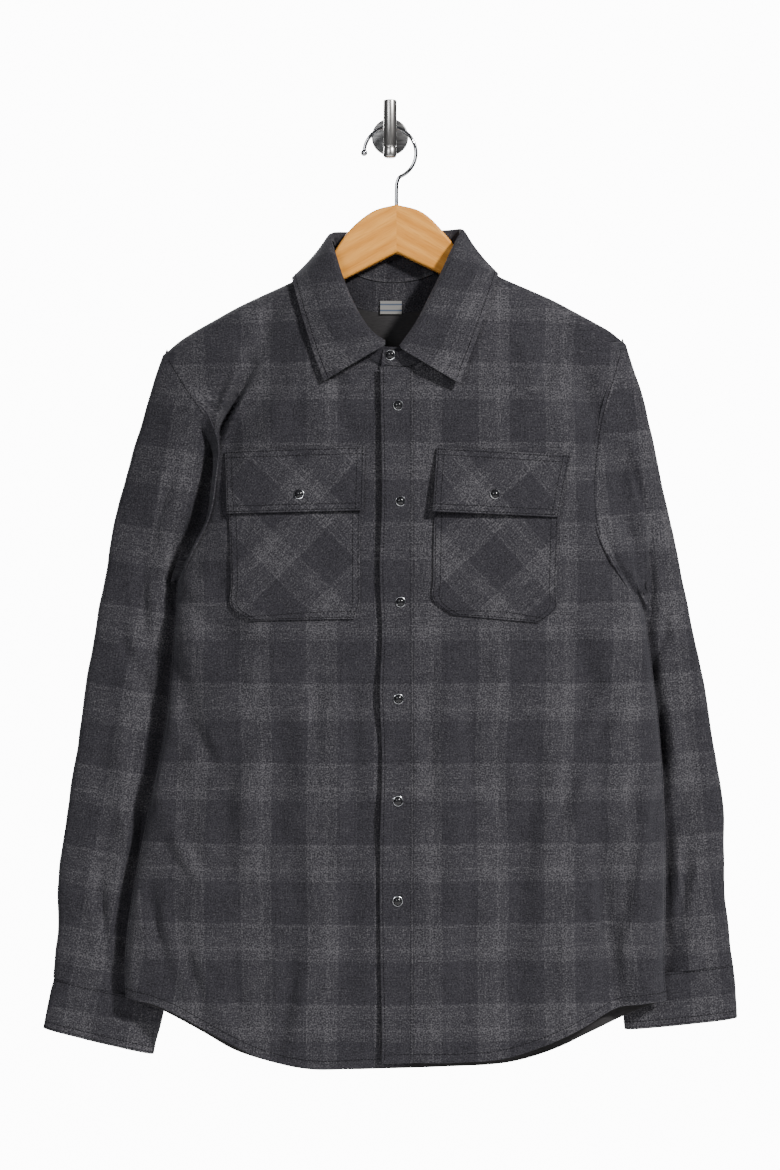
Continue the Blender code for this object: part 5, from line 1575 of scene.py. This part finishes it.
def collar_sheets(grids, trees):
    """The collar's stand and its folded leaf."""
    points, _, _ = dense(grids["stand"], CELL_SMALL)
    stand = Sheet("collar_stand", points, NECK_MID_Y)
    stand.grid_uv(STAND_START)
    points, _, _ = dense(leaf_grid(grids["neck"], grids["tops"], trees), CELL_SMALL)
    leaf = Sheet("collar_leaf", points, NECK_MID_Y, shell=LEAF_SHELL)
    leaf.points = leaf.points + leaf.normals * LEAF_THICK / 2
    leaf.grid_uv(LEAF_START)
    return [stand, leaf]


def placket_sheet():
    """The placket, on the plaid of the upper front."""
    sheet = Sheet("placket", array_of(placket_grid()), BODY_MID_Y, shell=PLACKET_SHELL)
    sheet.flat_uv(SHIFT_LEFT_FRONT)
    return sheet


def patch_sheet(name, rows, tree, thickness, lift_at, start):
    """A pocket or flap on the bias, made from the front's shown face, moved out."""
    across = int(round(abs(rows[0].x1 - rows[0].x0) / CELL_SMALL))
    coarse = []
    for row in rows:
        line = []
        for c in range(across + 1):
            s = c / across
            line.append(Vector((mix(row.x0, row.x1, s), lift_at(row, s) + thickness,
                                mix(row.z0, row.z1, s))))
        coarse.append(line)
    points, _ = resample(array_of(coarse), CELL_SMALL)
    for line in points:
        for point in line:
            point[1] = surface_y([tree], point[0], point[2], point[1])
    sheet = Sheet(name, points, BODY_MID_Y, shell=thickness * PATCH_SHELL)
    sheet.grid_uv(start, PATCH_TURN)
    return sheet


def patch_sheets(side, tree):
    """A pocket and its flap."""
    pocket, flap = (POCKET_RIGHT, FLAP_RIGHT) if side == "right" else (POCKET_LEFT, FLAP_LEFT)
    start = PATCH_STARTS[side]
    flap_start = (start[0] + FLAP_START[0], start[1] + FLAP_START[1])
    return [
        patch_sheet("pocket_" + side, pocket, tree, POCKET_THICK, lambda row, s: POCKET_LIFT, start),
        patch_sheet("flap_" + side, flap, tree, FLAP_THICK,
                    lambda row, s: mix(row.lift0, row.lift1, s), flap_start),
    ]


class Thread:
    """All the stitches of the garment, gathered for one mesh."""

    def __init__(self):
        self.verts = []
        self.faces = []

    def sew(self, path):
        """Stitches along a path of points and normals."""
        points = np.array([tuple(p) for p, _ in path])
        normals = np.array([tuple(n) for _, n in path])
        steps = np.linalg.norm(np.diff(points, axis=0), axis=1)
        ways = np.concatenate([[0.0], np.cumsum(steps)])
        for k in range(int(ways[-1] / STITCH_PITCH)):
            at = (k + 0.5) * STITCH_PITCH
            i = min(int(np.searchsorted(ways, at)), len(points) - 1)
            a, b = points[i - 1], points[i]
            t = (at - ways[i - 1]) / max(ways[i] - ways[i - 1], TINY)
            run = (b - a) / max(np.linalg.norm(b - a), TINY)
            self.stitch(a + (b - a) * t, run, normals[i])

    def stitch(self, middle, run, normal):
        """One stitch, pointed at its ends."""
        side = np.cross(run, normal)
        side /= max(np.linalg.norm(side), TINY)
        start = len(self.verts)
        for along, wide, high in STITCH_FORM:
            self.verts.append(tuple((middle + run * along * STITCH_LONG / 2
                                     + side * wide * STITCH_WIDE / 2
                                     + normal * (high * STITCH_HIGH + STITCH_PROUD)) * MM))
        for face in STITCH_FACES:
            self.faces.append(tuple(start + i for i in face))

    def make(self):
        """All the stitches as one piece."""
        mesh = bpy.data.meshes.new("stitching")
        mesh.from_pydata(self.verts, [], self.faces)
        mesh.update()
        add_piece("stitching", mesh, [thread_and_groove_shade_material()], [])


def turned_mesh(name, profile, sides):
    """A turned mesh about Z, from a profile of radius and height."""
    mesh = bpy.data.meshes.new(name)
    verts = [(radius * MM, 0, height * MM) for radius, height in profile]
    mesh.from_pydata(verts, [(i, i + 1) for i in range(len(verts) - 1)], [])
    piece = placed(name, mesh)
    screw = piece.modifiers.new("turn", "SCREW")
    screw.steps = sides
    screw.render_steps = sides
    screw.use_merge_vertices = True
    screw.merge_threshold = TURN_MERGE
    made = bpy.data.meshes.new_from_object(
        piece.evaluated_get(bpy.context.evaluated_depsgraph_get()))
    bpy.data.objects.remove(piece)
    made.shade_smooth()
    made.set_sharp_from_angle(angle=math.radians(TURN_SHARP))
    return made


def add_snap(snap, tree, materials):
    """A bright ring and a black domed cap, seated on the cloth."""
    towards = 1 if snap.front else -1
    heading = Vector((0, towards, 0))
    hit, normal, _, _ = tree.ray_cast(Vector((snap.x, -RAY_START * towards, snap.z)), heading)
    if normal.dot(heading) > 0:
        normal = -normal
    turn = Vector((0, 0, 1)).rotation_difference(normal).to_matrix().to_4x4()
    place = Matrix.Translation((hit + normal * SNAP_PROUD) * MM) @ turn
    parts = (("_ring", RING_PROFILE, [snap.name]), ("_cap", CAP_PROFILE, []))
    for (kind, profile, nodes), material in zip(parts, materials):
        mesh = turned_mesh(snap.name + kind, profile, SNAP_TURNS)
        mesh.transform(place)
        add_piece(snap.name + kind, mesh, [material], nodes)


def smooth_outline(points):
    """A smooth line through some spots."""
    rows = np.array([[(p.x, 0.0, p.z)] for p in points], float)
    made, _ = resample(rows, ARCH_STEP)
    return [Spot(p[0][0], p[0][2]) for p in made]


def hanger_outline(arch, end_x):
    """One half of the hanger's outline, from its top in the middle out and back below."""
    side = math.copysign(1.0, end_x)
    start_x = arch[-1].x + side * ARM_START_STEP
    line = smooth_outline([HANGER_APEX] + arch)[1:]
    for step in range(ARM_TOP_STEPS + 1):
        x = mix(start_x, end_x, step / ARM_TOP_STEPS)
        line.append(Spot(x, roof(x) - WOOD_BELOW_CLOTH))
    tip_x = end_x + side * ARM_TIP_STEP
    for x, drop in ((tip_x, ARM_TIP_TOP), (tip_x, ARM_TIP_LOW), (end_x, ARM_DEPTH)):
        line.append(Spot(x, roof(x) - WOOD_BELOW_CLOTH - drop))
    return line


def add_hanger(materials):
    """The wooden hanger: two arms that meet in a mitre, each with its own grain."""
    shape = bmesh.new()

    def corner(spot):
        return shape.verts.new((spot.x * MM, (HANGER_Y - WOOD_THICK / 2) * MM, spot.z * MM))
    apex, vee = corner(HANGER_APEX), corner(HANGER_VEE)
    faces = []
    for arch, end_x in ((ARCH_RIGHT, ARM_END_RIGHT_X), (ARCH_LEFT, ARM_END_LEFT_X)):
        outline = [corner(spot) for spot in hanger_outline(arch, end_x)]
        faces.append(shape.faces.new([apex] + outline + [vee]))
    moved = bmesh.ops.extrude_face_region(shape, geom=faces)
    back = [v for v in moved["geom"] if isinstance(v, bmesh.types.BMVert)]
    bmesh.ops.translate(shape, verts=back, vec=(0, WOOD_THICK * MM, 0))
    for face in shape.faces:
        face.material_index = int(face.calc_center_median().x > HANGER_APEX.x * MM)
    bmesh.ops.recalc_face_normals(shape, faces=shape.faces)
    mesh = bpy.data.meshes.new("hanger")
    shape.to_mesh(mesh)
    shape.free()
    mesh.shade_smooth()
    piece = add_piece("hanger", mesh, materials, ["hanger_wood"])
    soften(piece, WOOD_EDGE, WOOD_EDGE_STEPS, WOOD_EDGE_ANGLE).harden_normals = True


def wire_points():
    """The hook's line from the wood up and round to its tip."""
    centre_z = STEM_RADIUS + HOOK_GAP + WIRE_RADIUS - HOOK_RADIUS
    points = [Vector((HANGER_APEX.x, HANGER_Y, HANGER_APEX.z - WIRE_INTO_WOOD))]
    points += [Vector((spot.x, HANGER_Y, spot.z)) for spot in HOOK_NECK]
    for step in range(HOOK_STEPS + 1):
        angle = math.radians(HOOK_START + step * HOOK_TURN / HOOK_STEPS)
        points.append(Vector((HOOK_RADIUS * math.cos(angle), HANGER_Y,
                              centre_z + HOOK_RADIUS * math.sin(angle))))
    return points


def add_wire(material):
    """The chrome hook, and the ball on its tip."""
    points = wire_points()
    data = bpy.data.curves.new("hook_wire", "CURVE")
    data.dimensions = "3D"
    data.bevel_depth = WIRE_SHOWN * MM
    data.bevel_resolution = WIRE_ROUND
    data.use_fill_caps = True
    data.resolution_u = WIRE_STEPS
    spline = data.splines.new("BEZIER")
    spline.bezier_points.add(len(points) - 1)
    for k, (target, point) in enumerate(zip(spline.bezier_points, points)):
        target.co = point * MM
        target.handle_left_type = "VECTOR" if k == WIRE_KINK else "AUTO"
        target.handle_right_type = target.handle_left_type
    add_piece("hook_wire", data, [material], ["hanger_hook"])
    angles = [math.pi * step / BALL_STEPS for step in range(1, BALL_STEPS)]
    arc = [(BALL_RADIUS * math.sin(angle), BALL_RADIUS * math.cos(angle)) for angle in angles]
    ball = [(0.0, BALL_RADIUS)] + arc + [(0.0, -BALL_RADIUS)]
    mesh = turned_mesh("hook_ball", ball, BALL_TURNS)
    mesh.transform(Matrix.Translation(points[-1] * MM))
    add_piece("hook_ball", mesh, [material], [])


def add_wall_hook(material, plate_material):
    """The round plate, the stem and the upright bar, with soft edges."""
    stem_length = -PLATE_THICK - BAR_Y
    stem_profile = ((0, 0), (STEM_RADIUS, 0), (STEM_RADIUS, -stem_length), (0, -stem_length))
    flat = Matrix.Rotation(math.radians(90), 4, "X")
    out = Matrix.Translation((0, BAR_Y * MM, 0))
    for name, profile, steps, place, metal, nodes in (
            ("hook_plate", PLATE_PROFILE, PLATE_TURNS, flat, plate_material, ["wall_plate"]),
            ("hook_bar", BAR_PROFILE, BAR_TURNS, out, material, ["wall_peg"]),
            ("hook_stem", stem_profile, STEM_TURNS, out @ flat, material, [])):
        mesh = turned_mesh(name, profile, steps)
        mesh.transform(place)
        add_piece(name, mesh, [metal], nodes)


def add_neck_tape(material):
    """A small plain tape inside the back of the neck."""
    low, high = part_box("neck_tab")
    shape = bmesh.new()
    bmesh.ops.create_cube(shape, size=1.0)
    for vert in shape.verts:
        vert.co = Vector([mix(low[i], high[i], vert.co[i] + 0.5) for i in range(3)])
    bmesh.ops.subdivide_edges(shape, edges=shape.edges, cuts=TAB_CUTS, use_grid_fill=True)
    for vert in shape.verts:
        share = (vert.co.x - low.x) / (high.x - low.x)
        vert.co.y += TAB_BOW * MM * (math.sin(math.pi * share) - 0.5)
    mesh = bpy.data.meshes.new("neck_tape")
    shape.to_mesh(mesh)
    shape.free()
    mesh.shade_smooth()
    mesh.set_sharp_from_angle(angle=math.radians(TAB_SHARP))
    add_piece("neck_tape", mesh, [material], ["neck_tab"])


def add_light(lamp):
    """A soft round light, turned to the garment."""
    data = bpy.data.lights.new(lamp.name, "AREA")
    data.shape = "DISK"
    data.size = lamp.size
    data.energy = lamp.power
    data.color = lamp.colour
    light = placed(lamp.name, data)
    light.location = lamp.place
    aim = Vector(LIGHT_TARGET) - Vector(lamp.place)
    light.rotation_euler = aim.to_track_quat("-Z", "Y").to_euler()


def add_backdrop():
    """A glowing pale sheet far behind, which fills the picture."""
    wide, high = BACKDROP_HALF
    middle = CAMERA_PLACE[2]
    mesh = bpy.data.meshes.new("backdrop")
    corners = ((-wide, -high), (wide, -high), (wide, high), (-wide, high))
    mesh.from_pydata([(x, BACKDROP_Y, middle + z) for x, z in corners], [], [(0, 1, 2, 3)])
    n = Nodes("pale_backdrop")
    n.set(Base_Color=(0.9, 0.9, 0.9, 1.0), Roughness=0.9, Emission_Color=(1.0, 1.0, 1.0, 1.0),
          Emission_Strength=BACKDROP_GLOW)
    mesh.materials.append(n.material)
    placed("backdrop", mesh)


def add_floor():
    """A round pale floor, below the picture."""
    mesh = bpy.data.meshes.new("floor")
    shape = bmesh.new()
    bmesh.ops.create_circle(shape, cap_ends=True, segments=FLOOR_SIDES, radius=FLOOR_RADIUS)
    shape.to_mesh(mesh)
    shape.free()
    n = Nodes("pale_floor")
    n.link(n.ramp(n.noise(n.place(), 6.0, 3.0), ((0.0, 0.80), (1.0, 0.84))), "Base Color")
    n.set(Roughness=0.9)
    mesh.materials.append(n.material)
    floor = placed("floor", mesh)
    floor.location = (0.0, FLOOR_Y, FLOOR_Z)


def add_world():
    """A dim surround."""
    world = bpy.data.worlds.new("studio")
    world.use_nodes = True
    back = world.node_tree.nodes["Background"]
    back.inputs["Color"].default_value = (*SURROUND, 1.0)
    back.inputs["Strength"].default_value = SURROUND_STRENGTH
    bpy.context.scene.world = world


def add_camera():
    """The photo's camera, level in front of the garment."""
    data = bpy.data.cameras.new("camera")
    data.sensor_width = SENSOR
    data.lens = SENSOR * FOCAL_PIXELS / PHOTO_HEIGHT
    data.clip_end = CLIP_END
    camera = placed("camera", data)
    camera.location = CAMERA_PLACE
    camera.rotation_euler = (math.radians(90), 0.0, 0.0)
    bpy.context.scene.camera = camera


def coarse_grids():
    """The same coarse grids as the solids: body, sleeves, cuffs and collar."""
    right = front_grid(side_spots(ARM_FRONT_RIGHT, "right", SIDE_HEM_RIGHT_Z),
                       centre_spots(NECK_RIGHT, HEM_CENTRE_RIGHT_Z), UNDER_LIFT)
    left = front_grid(side_spots(ARM_FRONT_LEFT, "left", SIDE_HEM_LEFT_Z),
                      centre_spots(NECK_LEFT, HEM_CENTRE_LEFT_Z), 0.0)
    yoke = yoke_grid()
    for c in range(len(ACROSS)):
        right[0][c] = yoke[0][c].copy()
        left[0][c] = yoke[0][-1 - c].copy()
    back = back_grid(side_spots(ARM_BACK_RIGHT, "right", SIDE_HEM_RIGHT_Z),
                     side_spots(ARM_BACK_LEFT, "left", SIDE_HEM_LEFT_Z), yoke[-1])
    grids = {"front_right": right, "front_left": left, "back": back, "yoke": yoke}
    front_rows, back_rows = len(ARM_FRONT_RIGHT), len(ARM_BACK_RIGHT)
    counts = (front_rows + 1, back_rows + YOKE_BACK_ROWS)
    for side, front, edge, table, end in (("right", right, 0, SLEEVE_RIGHT, CUFF_RIGHT_END),
                                          ("left", left, -1, SLEEVE_LEFT, CUFF_LEFT_END)):
        hole = armhole_ring([row[0] for row in front[:front_rows]], [row[edge] for row in yoke],
                            [row[edge] for row in back[:back_rows]])
        grids["sleeve_" + side] = sleeve_grid(table, hole, *counts)
        start = smooth_row(table, SLEEVE_STATIONS)
        rows = [SleeveRow(*(mix(a, b, share) for a, b in zip(start, end))) for share in (0.0, 0.5, 1.0)]
        grids["cuff_" + side] = [tube_ring(row, *counts) for row in rows]
    neck = neck_points(right, yoke, left)
    tops = stand_tops(neck)
    grids["stand"] = [tops, [mix(a, b, 0.5) for a, b in zip(tops, neck)], neck]
    grids.update(neck=neck, tops=tops)
    return grids


def double_wave(z, waves):
    """A wave down an edge whose own place wavers."""
    length, bend, bend_length = waves
    return math.sin(z / length + bend * math.sin(z / bend_length))


def placket_grid():
    """The placket's points from its seam to its free edge, proud of the fronts."""
    grid = []
    top_z = NECK_LEFT[UPPER_END_ROW].z
    rows = int((HEM_CENTRE_LEFT_Z - top_z) / -CELL_BODY)
    for r in range(rows + 1):
        z = mix(top_z, HEM_CENTRE_LEFT_Z, r / rows)
        line = []
        for c in range(PLACKET_COLUMNS + 1):
            share = c / PLACKET_COLUMNS
            x = mix(PLACKET_SEAM_X, PLACKET_FREE_X, share)
            x += PLACKET_SWAY * share * double_wave(z, SWAY_WAVES)
            ripple = PLACKET_RIPPLE * share * double_wave(z, RIPPLE_WAVES)
            line.append(front_point(Spot(x, z), PLACKET_OUT + ripple + PLACKET_LIFT * share ** 2))
        grid.append(line)
    return grid


def declare(sheet):
    """Work out the width across of what shows of the sheet, row by row, laid flat; the result is not
    used.
    """
    across = lengths(sheet.points, 1)[:, -1]
    if sheet.closed:
        across = across + np.linalg.norm(sheet.points[:, 0] - sheet.points[:, -1], axis=1)


def declare_all(sheets):
    """List what each piece of cloth rests on, and work out each one's width across; neither is used
    further.
    """
    rests = [(name, "hanger") for name in ("front_right", "front_left", "back", "yoke")]
    for side in ("right", "left"):
        for kind, under in (("sleeve_", "yoke"), ("cuff_", "sleeve_" + side),
                            ("pocket_", "front_" + side), ("flap_", "front_" + side)):
            rests.append((kind + side, under + "_cloth"))
    rests += [("placket", "front_left_cloth"), ("collar_stand", "yoke_cloth"),
              ("collar_leaf", "collar_stand_cloth")]
    for name, under in rests:
        declare(sheets[name])


def cloth_sheets():
    """Every piece of cloth by its CAD node's name."""
    grids = coarse_grids()
    made = [body_sheet(name, grids[name], creases, seed, shift) for name, creases, seed, shift in (
        ("front_right", CREASES_FRONT, 1.0, 0.0),
        ("front_left", CREASES_FRONT, 2.0, SHIFT_LEFT_FRONT),
        ("back", CREASES_BACK, 3.0, SHIFT_BACK))]
    trees = [made[0].tree(), made[1].tree()]
    made += [sleeve_sheet(side, grids["sleeve_" + side], seed) for side, seed in SLEEVE_SEEDS]
    made.append(yoke_sheet(grids["yoke"]))
    made += [cuff_sheet(side, grids["cuff_" + side]) for side in ("right", "left")]
    made += collar_sheets(grids, trees)
    made.append(placket_sheet())
    for side, tree in zip(("right", "left"), trees):
        made += patch_sheets(side, tree)
    return {sheet.name: sheet for sheet in made}


def add_cloth(sheets):
    """The cloth, its stitches and its snaps."""
    cloth, inside = plaid_material(), inner_material()
    pieces = {}
    for name, sheet in sheets.items():
        pieces[name] = sheet.make([cloth, inside] if name in ("yoke", "back") else [cloth])
        soften(pieces[name], EDGE_ROUND, EDGE_STEPS, SHARP_ANGLE)
    thread = Thread()
    for seam in SEAMS:
        for inset in seam.insets:
            for edge in seam.edges:
                thread.sew(sheets[seam.piece].edge_path(edge, inset))
    thread.make()
    materials = (metal_material("snap_chrome"), cap_material())
    trees = {snap.piece: sheets[snap.piece].tree() for snap in SNAPS}
    for snap in SNAPS:
        add_snap(snap, trees[snap.piece], materials)
    return pieces


def main():
    sheets = cloth_sheets()
    pieces = add_cloth(sheets)
    add_hanger([wood_material("maple_right", GRAIN_LEAN), wood_material("maple_left", -GRAIN_LEAN)])
    add_wire(metal_material("hook_chrome"))
    add_wall_hook(metal_material("brushed_steel"), metal_material("plate_steel"))
    add_neck_tape(tab_material())
    declare_all(sheets)
    add_floor()
    add_backdrop()
    for lamp in LIGHTS:
        add_light(lamp)
    add_world()
    add_camera()


main()
